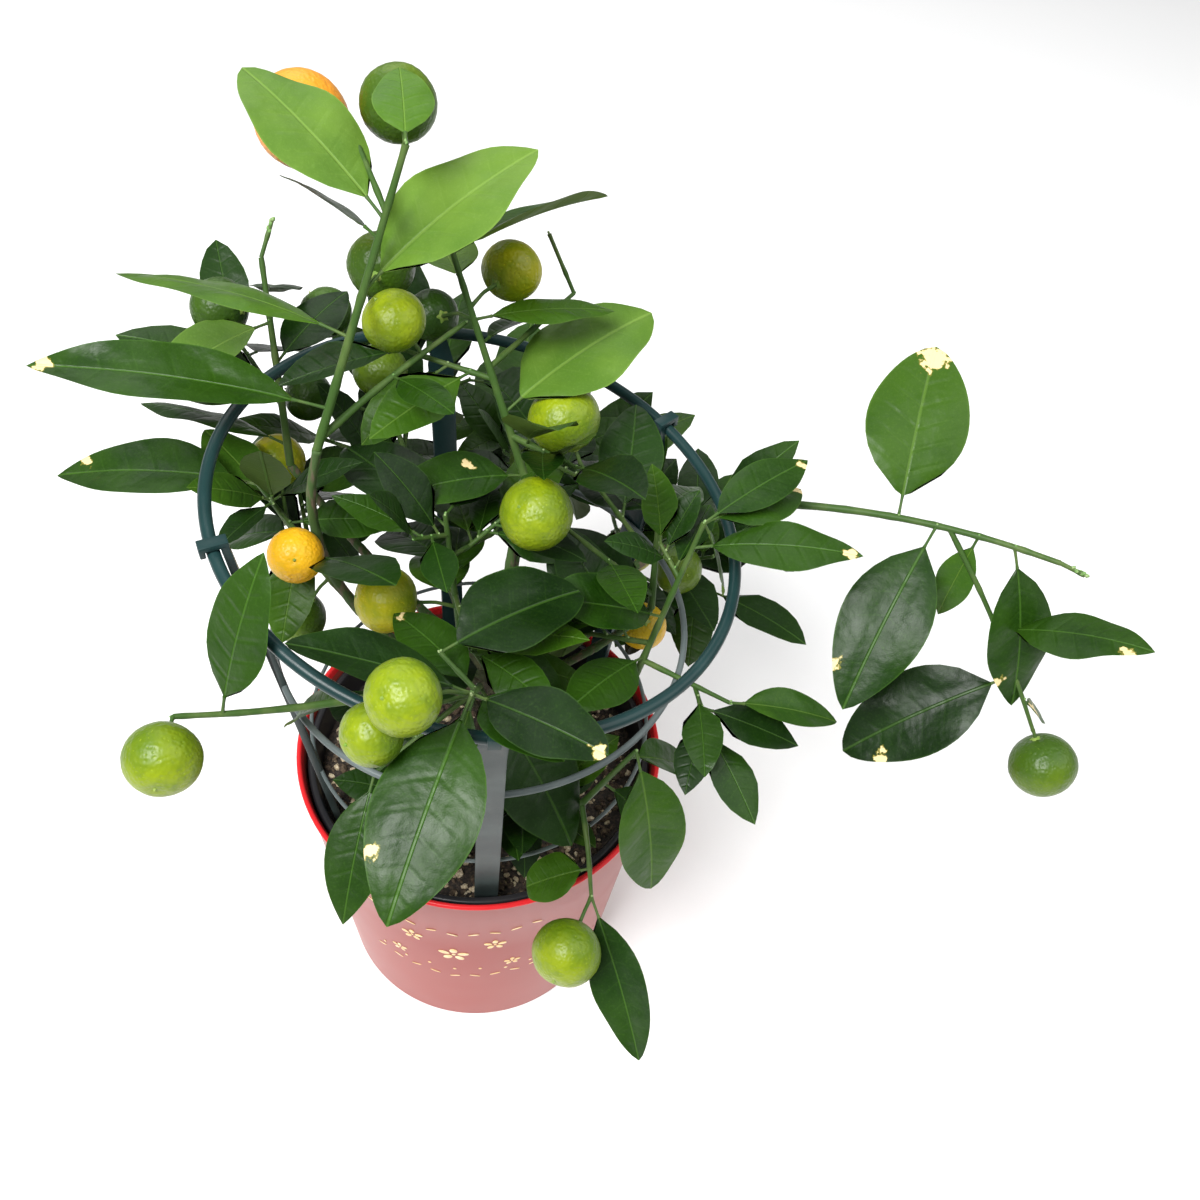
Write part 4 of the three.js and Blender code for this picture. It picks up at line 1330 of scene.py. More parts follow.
@dataclass
class Soil:
    """The potting mix: a rough top with granules and chips of bark on it."""

    radius: float = 73.2
    low: float = 5.3
    foot: float = 59.8
    rings: int = 30
    steps: int = 110
    granules: int = 2100
    pale_share: float = 0.42
    largest: tuple[float, float] = (2.0, 2.4)
    smallest: float = 0.8
    seed: int = 5

    def surface(self, x: float, y: float) -> float:
        """Return the height of the soil at a place."""
        out = math.hypot(x, y) / self.radius
        rough = noise.noise((x * 0.09, y * 0.09, 1.7)) * 1.5 + noise.noise((x * 0.4, y * 0.4, 4.1)) * 0.9
        return SOIL_LEVEL - 3.0 * out**6 + rough - 0.4

    def build(self) -> None:
        """Turn the root ball, roughen its top and strew the granules."""
        side = [(0, self.low), (self.foot, self.low), (self.radius - 0.6, SOIL_LEVEL - 6)]
        top = [(self.radius * (1 - ring / self.rings), SOIL_LEVEL) for ring in range(self.rings + 1)]
        ball = turned("soil_mix", [*side, *top], self.steps)
        for vertex in ball.data.vertices:
            if vertex.co.z > (SOIL_LEVEL - 1) * MM:
                vertex.co.z = self.surface(vertex.co.x / MM, vertex.co.y / MM) * MM
        ball.data.materials.append(GritFinish("soil_dark", (0.018, 0.013, 0.01), (0.05, 0.035, 0.025)).material())
        hand_over(ball, "soil", "soil")
        self.strew()

    def strew(self) -> None:
        """Strew small faceted grains over the top, pale ones and dark ones."""
        bpy.ops.mesh.primitive_ico_sphere_add(subdivisions=1, radius=1.0)
        model = bpy.context.active_object
        grain = np.array([tuple(vertex.co) for vertex in model.data.vertices])
        faces = [tuple(face.vertices) for face in model.data.polygons]
        bpy.data.objects.remove(model)
        draw = Draws(self.seed)
        heaps = {"pale": Joined(), "dark": Joined()}
        for _ in range(self.granules):
            out, turn = (self.radius - 3) * math.sqrt(draw()), math.tau * draw()
            x, y = out * math.cos(turn), out * math.sin(turn)
            pale = draw() < self.pale_share
            size = draw.within(self.smallest, self.largest[0 if pale else 1])
            shape = grain * [size * draw.within(0.7, 1.2), size * draw.within(0.6, 1.0), size * draw.within(0.4, 0.8)]
            shape = shape * (0.8 + 0.4 * np.array([draw() for _ in shape])[:, None])
            spin = Matrix.Rotation(math.tau * draw(), 3, "Z") @ Matrix.Rotation(draw() - 0.5, 3, "X")
            place = np.array([x, y, self.surface(x, y) + 0.25 * size])
            heaps["pale" if pale else "dark"].add(shape @ np.array(spin).T + place, faces)
        finishes = {
            "pale": GritFinish("grit_pale", (0.42, 0.33, 0.21), (0.62, 0.53, 0.38)),
            "dark": GritFinish("grit_dark", (0.05, 0.032, 0.02), (0.11, 0.075, 0.045)),
        }
        for name, heap in heaps.items():
            hand_over(heap.build(f"soil_granules_{name}", [finishes[name].material()], smooth=False), "soil")


@dataclass
class Trellis:
    """Four uprights hooked over a tilted hoop, with two finer hoops let into them."""

    sizes: TrellisSizes = field(default_factory=TrellisSizes)
    rows: int = 16
    channel: tuple[float, float] = (2.2, 0.5)
    edge: float = 0.35

    def crest(self, turn: float) -> float:
        """Return the height of the tilted hoop at a compass turn."""
        z = self.sizes
        return z.hoop_height - z.hoop_radius * math.cos(math.radians(turn)) * math.tan(math.radians(z.hoop_tilt))

    def radius(self, turn: float, height: float) -> float:
        """Return the radius of an upright's middle line at a height."""
        z = self.sizes
        reach = z.hoop_radius - z.wire - z.thick / 2 - CLEARANCE
        share = (height - SOIL_LEVEL) / (self.crest(turn) - SOIL_LEVEL)
        return z.foot_radius + (reach - z.foot_radius) * share

    def build(self) -> None:
        """Make the hoops and the uprights."""
        z = self.sizes
        deep = (0.008, 0.028, 0.028)
        dark = PlasticFinish("trellis_dark", deep, (0.013, 0.040, 0.040), 0.34).material()
        # The front and left uprights are paler plastic, with painted shade: above a height their heads take the deep
        # colour.
        faded_painted_shade_head = PlasticFinish("trellis_faded", (0.036, 0.050, 0.048), (0.060, 0.080, 0.076), 0.42, head=deep).material()
        pale = PlasticFinish("trellis_pale", (0.085, 0.105, 0.105), (0.14, 0.165, 0.16), 0.45).material()
        self.hoop("top", z.hoop_radius, z.hoop_height, z.wire, z.hoop_tilt, dark)
        for name, height, wire in zip(("middle", "bottom"), z.levels, z.fine_wires):
            self.hoop(name, self.radius(90, height) - z.thick / 2, height, wire, 0.0, pale)
        for name, turn, material in (
            ("front", -79, faded_painted_shade_head), ("left", -150, faded_painted_shade_head), ("back", 110, dark), ("right", 48, dark),
        ):
            self.upright(name, turn, material)

    def hoop(
        self, name: str, radius: float, height: float, wire: float, tilt: float, material: bpy.types.Material
    ) -> None:
        """Bend one hoop, level or tilted.

        Args:
            name: Its place: top, middle or bottom.
            radius: The radius of its middle line, seen from above.
            height: The height of its centre.
            wire: The radius of its wire.
            tilt: How far it dips towards +X, in degrees.
            material: Its plastic.
        """
        pick_none()
        bpy.ops.mesh.primitive_torus_add(
            major_radius=radius * MM, minor_radius=wire * MM, major_segments=180, minor_segments=14,
            rotation=(0, math.radians(tilt), 0), location=(0, 0, height * MM),
        )
        ring = bpy.context.active_object
        ring.name = ring.data.name = f"hoop_{name}"
        ring.scale.x = 1 / math.cos(math.radians(tilt))
        bpy.ops.object.transform_apply(location=True, rotation=True, scale=True)
        bpy.ops.object.shade_smooth()
        ring.data.materials.append(material)
        hand_over(ring, "trellis", f"trellis_hoop_{name}")

    def upright(self, name: str, turn: float, material: bpy.types.Material) -> None:
        """Cut one upright: a strip with a channel down its outer face and a hook at its head.

        Args:
            name: Its side of the pot.
            turn: Its compass turn from +X, in degrees.
            material: Its plastic.
        """
        z = self.sizes
        top = self.crest(turn)
        over, beyond = top + z.wire + CLEARANCE, z.hoop_radius + z.wire + CLEARANCE
        foot = SOIL_LEVEL - z.sunk
        outer = [(self.radius(turn, height) + z.thick / 2, height) for height in np.linspace(foot, top, self.rows)]
        inner = [(self.radius(turn, height) - z.thick / 2, height) for height in np.linspace(over, foot, self.rows)]
        head = [
            (outer[-1][0], over), (beyond, over), (beyond, top), (beyond + z.lip, top),
            (beyond + z.lip, over + z.hook), (inner[0][0], over + z.hook),
        ]
        outline = [*outer, *head, *inner]
        mesh = bpy.data.meshes.new(f"upright_{name}")
        corners = [(out * MM, -z.width / 2 * MM, height * MM) for out, height in outline]
        mesh.from_pydata(corners, [], [tuple(range(len(corners)))])
        strip = linked(f"upright_{name}", mesh)
        pick(strip)
        bpy.ops.object.mode_set(mode="EDIT")
        bpy.ops.mesh.select_all(action="SELECT")
        bpy.ops.mesh.extrude_region_move(TRANSFORM_OT_translate={"value": (0, z.width * MM, 0)})
        bpy.ops.mesh.select_all(action="SELECT")
        bpy.ops.mesh.normals_make_consistent(inside=False)
        bpy.ops.mesh.select_all(action="DESELECT")
        bpy.ops.object.mode_set(mode="OBJECT")
        lowest, highest = (foot + 1) * MM, (top - 6) * MM
        for face in strip.data.polygons:
            face.select = face.normal.x > 0.8 and lowest < face.center.z < highest
        bpy.ops.object.mode_set(mode="EDIT")
        bpy.ops.mesh.inset(thickness=self.channel[0] * MM, depth=-self.channel[1] * MM)
        bpy.ops.object.mode_set(mode="OBJECT")
        for vertex in strip.data.vertices:
            up = min(max((vertex.co.z / MM - top + z.head_length) / z.head_length, 0.0), 1.0)
            vertex.co.y *= 1 - (1 - z.head_share) * up
        finished(strip, "BEVEL", width=self.edge * MM, segments=2, limit_method="ANGLE")
        strip.rotation_euler.z = math.radians(turn)
        bpy.ops.object.transform_apply(location=True, rotation=True, scale=True)
        bpy.ops.object.shade_smooth_by_angle(angle=math.radians(35))
        strip.data.materials.append(material)
        hand_over(strip, "trellis", f"trellis_upright_{name}")


# ------------------------------------------------------------------ trunk and boughs


@dataclass
class Wood:
    """The trunk and its boughs as one skin, with the relief of the bark."""

    x: float = 3.0
    y: float = 6.0
    lean: tuple[float, float] = (3.0, 3.4)
    top: float = 205.0
    foot: float = 8.2
    tip: float = 5.6
    flare: float = 4.3
    flare_end: float = 0.2
    sunk: float = 2.5
    voxel: float = 0.75
    knots: tuple[float, float, float] = (0.28, 23.0, 2.2)
    collar: float = 0.85
    collar_length: float = 11.0
    root_lobes: int = 4

    def up(self, height: float) -> float:
        """Return how far up the trunk a height is, from 0 at the soil to 1 at its fork."""
        return (height - SOIL_LEVEL) / (self.top - SOIL_LEVEL)

    def middle(self, height: float) -> Vector:
        """Return the trunk's middle at a height."""
        up = self.up(height)
        return Vector((self.x + self.lean[0] * up, self.y + self.lean[1] * up, height))

    def radius(self, height: float) -> float:
        """Return the trunk's radius at a height, with its root flare."""
        up = self.up(height)
        fade = min(max(1 - up / self.flare_end, 0.0), 1.3)
        return self.foot + (self.tip - self.foot) * up + self.flare * fade**2

    def course(self, bough: Bough) -> list[Vector]:
        """Return the middle line of a bough."""
        return course(self.middle(bough.start), bough, round(bough.reach / 20))

    def build(self) -> None:
        """Skin the limbs together, then raise the bark."""
        heights = np.linspace(SOIL_LEVEL - self.sunk, self.top + 1, 26)
        limbs = [([self.middle(height) for height in heights], [self.radius(height) for height in heights], 0)]
        for bough in BOUGHS.values():
            points = eased(self.course(bough), 6)
            last = len(points) - 1
            radii = []
            for index in range(last + 1):
                gone = bough.reach * index / last
                collar = self.collar * math.exp(-((gone / self.collar_length) ** 2))
                plain = bough.foot + (bough.tip - bough.foot) * index / last
                radii.append(plain * (1 + collar) + knot(gone, *self.knots))
            limbs.append((points, radii, 0))
        wood = tubes("bark_limbs", limbs, 4)
        finished(wood, "REMESH", mode="VOXEL", voxel_size=self.voxel * MM)
        finished(wood, "SMOOTH", factor=0.5, iterations=3)
        self.raise_bark(wood)
        bpy.ops.object.shade_smooth()
        wood.data.materials.clear()
        wood.data.materials.append(BarkFinish().material())
        hand_over(wood, "bark", "trunk", *(f"bough_{name}" for name in BOUGHS))

    def raise_bark(self, wood: bpy.types.Object) -> None:
        """Furrow the trunk deeply and the boughs lightly, and lobe the root flare."""
        mesh = wood.data
        count = len(mesh.vertices)
        spots, normals = np.zeros(count * 3), np.zeros(count * 3)
        mesh.vertices.foreach_get("co", spots)
        mesh.vertices.foreach_get("normal", normals)
        spots, normals = spots.reshape(-1, 3) / MM, normals.reshape(-1, 3)
        for index, (x, y, z) in enumerate(spots):
            out = math.hypot(x - self.x - self.lean[0] * self.up(z), y - self.y - self.lean[1] * self.up(z))
            old = min(max((14 - out) / 5, 0.0), 1.0) * min(max((self.top - z) / 15, 0.0), 1.0)
            furrow = abs(noise.noise((x * 0.55, y * 0.55, z * 0.13))) * 2
            lump = noise.noise((x * 0.16, y * 0.16, z * 0.11))
            lift = (0.14 + 0.5 * old) * (furrow - 0.35) + (0.1 + 0.5 * old) * lump
            flare = min(max(1 - self.up(z) / 0.3, 0.0), 1.2) * old
            turn = math.atan2(y - self.y, x - self.x)
            lift += flare * 1.3 * math.cos(self.root_lobes * turn + 0.8)
            spots[index] += normals[index] * lift
        mesh.vertices.foreach_set("co", (spots * MM).ravel())
        mesh.update()


# ------------------------------------------------------------------ leaves, fruits and twigs


@dataclass(frozen=True)
class Blade:
    """A leaf blade's grid: rows from its base to its tip, and columns on each side of the midrib."""

    rows: int
    columns: int

    @property
    def width(self) -> int:
        """Return the corners in a row."""
        return 2 * self.columns + 1

    @cached_property
    def form(self) -> tuple[list[tuple[int, ...]], list[int]]:
        """Return the faces of the closed shell, and the material slot of each."""
        tip = self.rows * self.width
        upper = [[row * self.width + column for column in range(self.width)] for row in range(self.rows)]
        lower = [list(row) for row in upper]
        free = tip + 1
        for row in range(1, self.rows):
            for column in range(1, self.width - 1):
                lower[row][column] = free
                free += 1
        faces: list[tuple[int, ...]] = []
        for grid in (upper, lower):
            side = []
            for near, far in zip(grid, grid[1:]):
                for c in range(self.width - 1):
                    side += [(near[c], near[c + 1], far[c + 1]), (near[c], far[c + 1], far[c])]
            side += [(grid[-1][c], grid[-1][c + 1], tip) for c in range(self.width - 1)]
            faces += side if grid is upper else [tuple(reversed(face)) for face in side]
        half = len(faces) // 2
        return faces, [0] * half + [1] * half


FINE_BLADE = Blade(16, 3)
PLAIN_BLADE = Blade(6, 2)
UNMARKED = 9.0


@dataclass(frozen=True)
class LeafShape:
    """How one leaf differs from its plan.

    Its sway and twist are in degrees along it. Its fold, curl, wave and pucker are shares of its
    width or length, its phase moves its waves along, its dip draws its tip in, and its chance is
    a draw that its finish reads.
    """

    sway: float
    twist: float
    fold: float
    curl: float
    wave: float
    phase: float
    pucker: float
    dip: float
    chance: float

    @classmethod
    def drawn(cls, plan: Leaf, look: Draws) -> "LeafShape":
        """Return the shape of a leaf, drawn in the order of the fields."""
        limits = ((-9, 9), (-14, 14), (0.04, 0.4), (0.04, 0.34), (0.02, 0.09), (0, math.tau), (0.1, 0.5))
        values = [look.within(*pair) for pair in limits]
        dip = look.within(-0.06, 0.16) + 1.4 * max(plan.wide - 0.4, 0.0)
        return cls(*values, dip, look())


@dataclass
class Leafage:
    """All the leaves, gathered by tint."""

    stalk: float = 0.12
    sweep: float = 0.5
    base: float = 0.7
    thick: float = 0.35
    ridge: float = 0.5
    ridge_half: float = 1.1
    full: float = 0.88
    waves: float = 1.6
    puckers: float = 2.6
    pucker_length: float = 70
    steps: int = 24
    heaps: dict[Tint, Joined] = field(default_factory=lambda: {tint: Joined() for tint in Tint})

    @staticmethod
    def headings(turn: np.ndarray, rise: np.ndarray) -> np.ndarray:
        """Return unit vectors at compass turns and rises, in degrees."""
        turn, rise = np.radians(turn), np.radians(rise)
        return np.stack([np.cos(rise) * np.cos(turn), np.cos(rise) * np.sin(turn), np.sin(rise)], 1)

    def half_widths(self, plan: Leaf, shape: LeafShape, t: np.ndarray) -> np.ndarray:
        """Return half the blade's width at each row.

        Args:
            plan: The leaf.
            shape: Its own shape, whose dip draws the tip in.
            t: Each row's place along the blade, from 0 to 1.

        Returns:
            The half widths, measured along side veins that sweep towards the tip.
        """
        x = np.linspace(0, 1, 81)
        margin = 0.5 * plan.wide * plan.length
        margin = margin * np.sin(math.pi * x**self.full) ** (self.full - shape.dip * x)
        swept = np.maximum.accumulate(x - self.sweep * margin / (plan.length * (1 - self.stalk)))
        half = np.maximum(np.interp(t, swept, margin), np.where(t < 0.5, self.base, 0.0))
        half[-1] = 0
        return half

    def lifts(self, plan: Leaf, shape: LeafShape, t: np.ndarray, a: np.ndarray, half: np.ndarray) -> np.ndarray:
        """Return how far each corner stands off the blade's flat middle.

        Args:
            plan: The leaf.
            shape: Its own fold, curl, waves and puckers.
            t: Each row's place along the blade, from 0 to 1.
            a: Each column's place across it, from -1 to 1.
            half: Half the blade's width at each row.

        Returns:
            The lifts, by row and column.
        """
        row, reach = t[:, None], np.abs(a)[None, :]
        most = 0.5 * plan.wide * plan.length
        lift = half[:, None] * (shape.fold * reach - shape.curl * reach**2)
        lift = lift + shape.wave * most * (reach**2) * np.sin(
            math.tau * self.waves * row + shape.phase + np.where(a > 0, 1.4, 0)[None, :]
        ) * np.sin(math.pi * row)
        return lift + shape.pucker * plan.length / self.pucker_length * np.sin(
            math.tau * self.puckers * row + shape.phase
        ) * (4 * reach * (1 - reach))

    def add(self, root: Vector, plan: Leaf, look: Draws, blade: Blade) -> list[Vector]:
        """Add a leaf.

        Args:
            root: Where its stalk leaves the twig.
            plan: The leaf.
            look: Draws its shape.
            blade: Its grid.

        Returns:
            The middle line of its stalk.
        """
        shape = LeafShape.drawn(plan, look)
        arc = course(root, Twig(0, plan.turn, plan.rise, plan.length, -plan.droop, shape.sway), self.steps)
        line = np.array([tuple(point) for point in arc])
        t = np.linspace(0, 1, blade.rows + 1)
        s = self.stalk + (1 - self.stalk) * t
        middle = np.stack([np.interp(s * self.steps, np.arange(len(arc)), line[:, axis]) for axis in range(3)], 1)
        turn, rise = plan.turn + shape.sway * (s - 0.5), plan.rise - plan.droop * (s - 0.5)
        forward = self.headings(turn, rise)
        level, upright = self.headings(turn - 90, 0 * rise), self.headings(turn, rise + 90)
        roll = np.radians(plan.roll + shape.twist * (s - 0.5))[:, None]
        side = level * np.cos(roll) - upright * np.sin(roll)
        face = upright * np.cos(roll) + level * np.sin(roll)
        a = np.linspace(-1, 1, blade.width)
        half = self.half_widths(plan, shape, t)
        lateral, reach = a[None, :] * half[:, None], np.abs(a)[None, :]
        lift = self.lifts(plan, shape, t, a, half)
        ahead = self.sweep * reach * half[:, None]
        upper = (
            middle[:, None] + side[:, None] * lateral[..., None] + face[:, None] * lift[..., None]
            + forward[:, None] * ahead[..., None]
        )
        depth = self.thick + self.ridge * np.exp(-((lateral / self.ridge_half) ** 2)) * (1 - t[:, None])
        lower = (upper - face[:, None] * depth[..., None])[1:-1, 1:-1]
        points = np.concatenate([upper[:-1].reshape(-1, 3), upper[-1, :1], lower.reshape(-1, 3)])
        most = 0.5 * plan.wide * plan.length
        places = np.stack([0.5 + 0.5 * lateral / most, np.broadcast_to(t[:, None], lateral.shape)], 2)
        marks = np.full_like(places, UNMARKED)
        if plan.spot:
            at, across, radius = plan.spot
            centre = across * float(np.interp(at, t, half))
            marks = np.stack([lateral - centre, (places[..., 1] - at) * plan.length], 2) / radius
        faces, slots = blade.form
        edges = np.stack([np.broadcast_to(reach, lateral.shape), np.full(lateral.shape, shape.chance)], 2)
        gather = [
            np.concatenate([m[:-1].reshape(-1, 2), m[-1, :1], m[1:-1, 1:-1].reshape(-1, 2)])
            for m in (places, marks, edges)
        ]
        self.heaps[plan.tint].add(points, faces, slots, blade=gather[0], blemish=gather[1], edge=gather[2])
        return [Vector(point) for point in line[:4]]

    def build(self, nodes: Sequence[str]) -> None:
        """Make one piece for each tint."""
        for finish in LEAF_FINISHES:
            heap = self.heaps[finish.tint]
            piece = heap.build(f"leaves_{finish.tint.value}", [finish.upper(), finish.lower()])
            pick(piece)
            bpy.ops.object.shade_smooth_by_angle(angle=math.radians(55))
            hand_over(piece, "foliage", *nodes)


@dataclass
class Harvest:
    """All the fruits, gathered by ripeness, with their calyxes."""

    segments: int = 28
    rings: int = 18
    squash: float = 0.93
    lobes: int = 5
    lobe: tuple[float, float] = (2.9, 1.7)
    heaps: dict[Ripe, Joined] = field(default_factory=lambda: {ripe: Joined() for ripe in Ripe})
    calyxes: Joined = field(default_factory=Joined)

    def __post_init__(self) -> None:
        """Shape the model fruit: oblate, with a dimple at each pole."""
        pick_none()
        bpy.ops.mesh.primitive_uv_sphere_add(segments=self.segments, ring_count=self.rings, radius=1.0)
        model = bpy.context.active_object
        points = np.array([tuple(vertex.co) for vertex in model.data.vertices])
        self.faces = [tuple(face.vertices) for face in model.data.polygons]
        bpy.data.objects.remove(model)
        out = np.hypot(points[:, 0], points[:, 1])
        self.places = np.stack([np.arctan2(points[:, 1], points[:, 0]) / math.tau + 0.5, (1 - points[:, 2]) / 2], 1)
        points[:, 2] *= self.squash
        dimple = 0.05 * np.exp(-((out / 0.2) ** 2)) + 0.03 * np.exp(-((out / 0.06) ** 2))
        points[:, 2] -= np.sign(points[:, 2]) * dimple
        self.model = points

    def calyx(self) -> tuple[np.ndarray, list[tuple[int, ...]]]:
        """Return the corners and faces of a small lobed star, closed above and below."""
        count = 2 * self.lobes
        angles = np.arange(count) * math.tau / count
        out = np.where(np.arange(count) % 2 == 0, *self.lobe)
        star = np.stack([out * np.cos(angles), out * np.sin(angles), np.where(out > 2, 0.1, 0.5)], 1)
        over = [(i, (i + 1) % count, count) for i in range(count)]
        under = [((i + 1) % count, i, count + 1) for i in range(count)]
        return np.concatenate([star, [[0, 0, 1.3], [0, 0, -0.6]]]), over + under

    def add(self, node: Vector, plan: Fruit, look: Draws) -> list[Vector]:
        """Add a fruit, its calyx and the scar at its far end.

        Args:
            node: Where its stalk leaves the twig.
            plan: The fruit.
            look: Draws how it is turned.

        Returns:
            The middle line of its stalk.
        """
        centre = node + heading(plan.turn, plan.rise) * plan.reach
        axis = (node - centre).normalized()
        turn = axis.to_track_quat("Z", "Y").to_matrix() @ Matrix.Rotation(math.tau * look(), 3, "Z")
        lumps = np.array([noise.noise(Vector(point) * 1.6 + centre) for point in self.model])
        shape = self.model * (plan.size / 2 * (1 + 0.02 * lumps))[:, None]
        self.heaps[plan.ripe].add(shape @ np.array(turn).T + np.array(centre), self.faces, rind=self.places)
        head = centre + axis * (plan.size / 2 * (self.squash - 0.07))
        star, cap = self.calyx()
        self.calyxes.add(star @ np.array(turn).T + np.array(head), cap)
        scar = centre - axis * (plan.size / 2 * (self.squash - 0.09))
        self.calyxes.add(star * (0.3, 0.3, -1.1) @ np.array(turn).T + np.array(scar), [face[::-1] for face in cap])
        bow = node.lerp(head, 0.5) + Vector((0, 0, 0.08 * (node - head).length))
        return [node, node.lerp(bow, 0.6), bow, bow.lerp(head, 0.55), head]

    def build(self, nodes: Sequence[str]) -> None:
        """Make one piece for each ripeness, and one for the calyxes."""
        for finish in FRUIT_FINISHES:
            piece = self.heaps[finish.ripe].build(f"fruits_{finish.ripe.value}", [finish.material()])
            hand_over(piece, "fruit", *nodes)
        hand_over(self.calyxes.build("fruit_calyxes", [CALYX_FINISH.material()], smooth=False), "twig", *nodes)


@dataclass
class Twigwork:
    """All the twigs, stalks and buds."""

    knots: tuple[float, float, float] = (0.22, 17.0, 1.6)
    joint: float = 0.22
    limbs: list[tuple[Sequence[Vector], Sequence[float], int]] = field(default_factory=list)
    buds: Joined = field(default_factory=Joined)

    def add(self, points: Sequence[Vector], foot: float, tip: float, age: Age) -> None:
        """Add a twig, smoothed and tapered, that swells where leaves have stood.

        Args:
            points: Its middle line.
            foot: Its radius at its foot.
            tip: Its radius at its tip.
            age: Its skin.
        """
        fine = eased(points, 6)
        last = len(fine) - 1
        length = sum((b - a).length for a, b in zip(points, points[1:]))
        radii = [
            foot + (tip - foot) * index / last + knot(length * index / last, *self.knots)
            for index in range(last + 1)
        ]
        self.limbs.append((fine, radii, age.value))

    def add_stalk(self, points: Sequence[Vector], foot: float, tip: float) -> None:
        """Add a stalk that is thicker at both its joints."""
        fine = eased(points, 2)
        last = len(fine) - 1
        radii = [foot + (tip - foot) * i / last + self.joint * (2 * i / last - 1) ** 4 for i in range(last + 1)]
        self.limbs.append((fine, radii, Age.STALK.value))

    def add_bud(self, place: Vector, ahead: Vector, size: float) -> None:
        """Add a small pointed bud.

        Args:
            place: The middle of its foot.
            ahead: The way it points.
            size: Its radius at its widest.
        """
        turn = np.array(ahead.to_track_quat("Z", "Y").to_matrix())
        rings, sides = [(0.6, 0.0), (1.0, 0.7), (0.75, 1.5)], 6
        angles = np.arange(sides) * math.tau / sides
        points = [[0, 0, -0.5]]
        points += [[out * math.cos(angle), out * math.sin(angle), up] for out, up in rings for angle in angles]
        points.append([0, 0, 2.2])
        pairs = [(i, (i + 1) % sides) for i in range(sides)]
        faces = [(0, 1 + j, 1 + i) for i, j in pairs]
        for ring in (1, 1 + sides):
            faces += [(ring + i, ring + j, ring + sides + j, ring + sides + i) for i, j in pairs]
        last = 1 + 2 * sides
        faces += [(last + i, last + j, last + sides) for i, j in pairs]
        self.buds.add(np.array(points) * size @ turn.T + np.array(place), faces)

    def build(self, nodes: Sequence[str]) -> None:
        """Make the twigs and the buds."""
        twigs = tubes("twigs", self.limbs, 2)
        twigs.data.materials.clear()
        for finish in TWIG_FINISHES:
            twigs.data.materials.append(finish.material())
        hand_over(twigs, "twig", *nodes)
        hand_over(self.buds.build("buds", [BUD_FINISH.material()]), "twig", *nodes)


@dataclass(frozen=True)
class Branch:
    """A grown twig: its middle line, the radius of its foot and what is planned on it."""

    points: list[Vector]
    foot: float
    plan: Twig


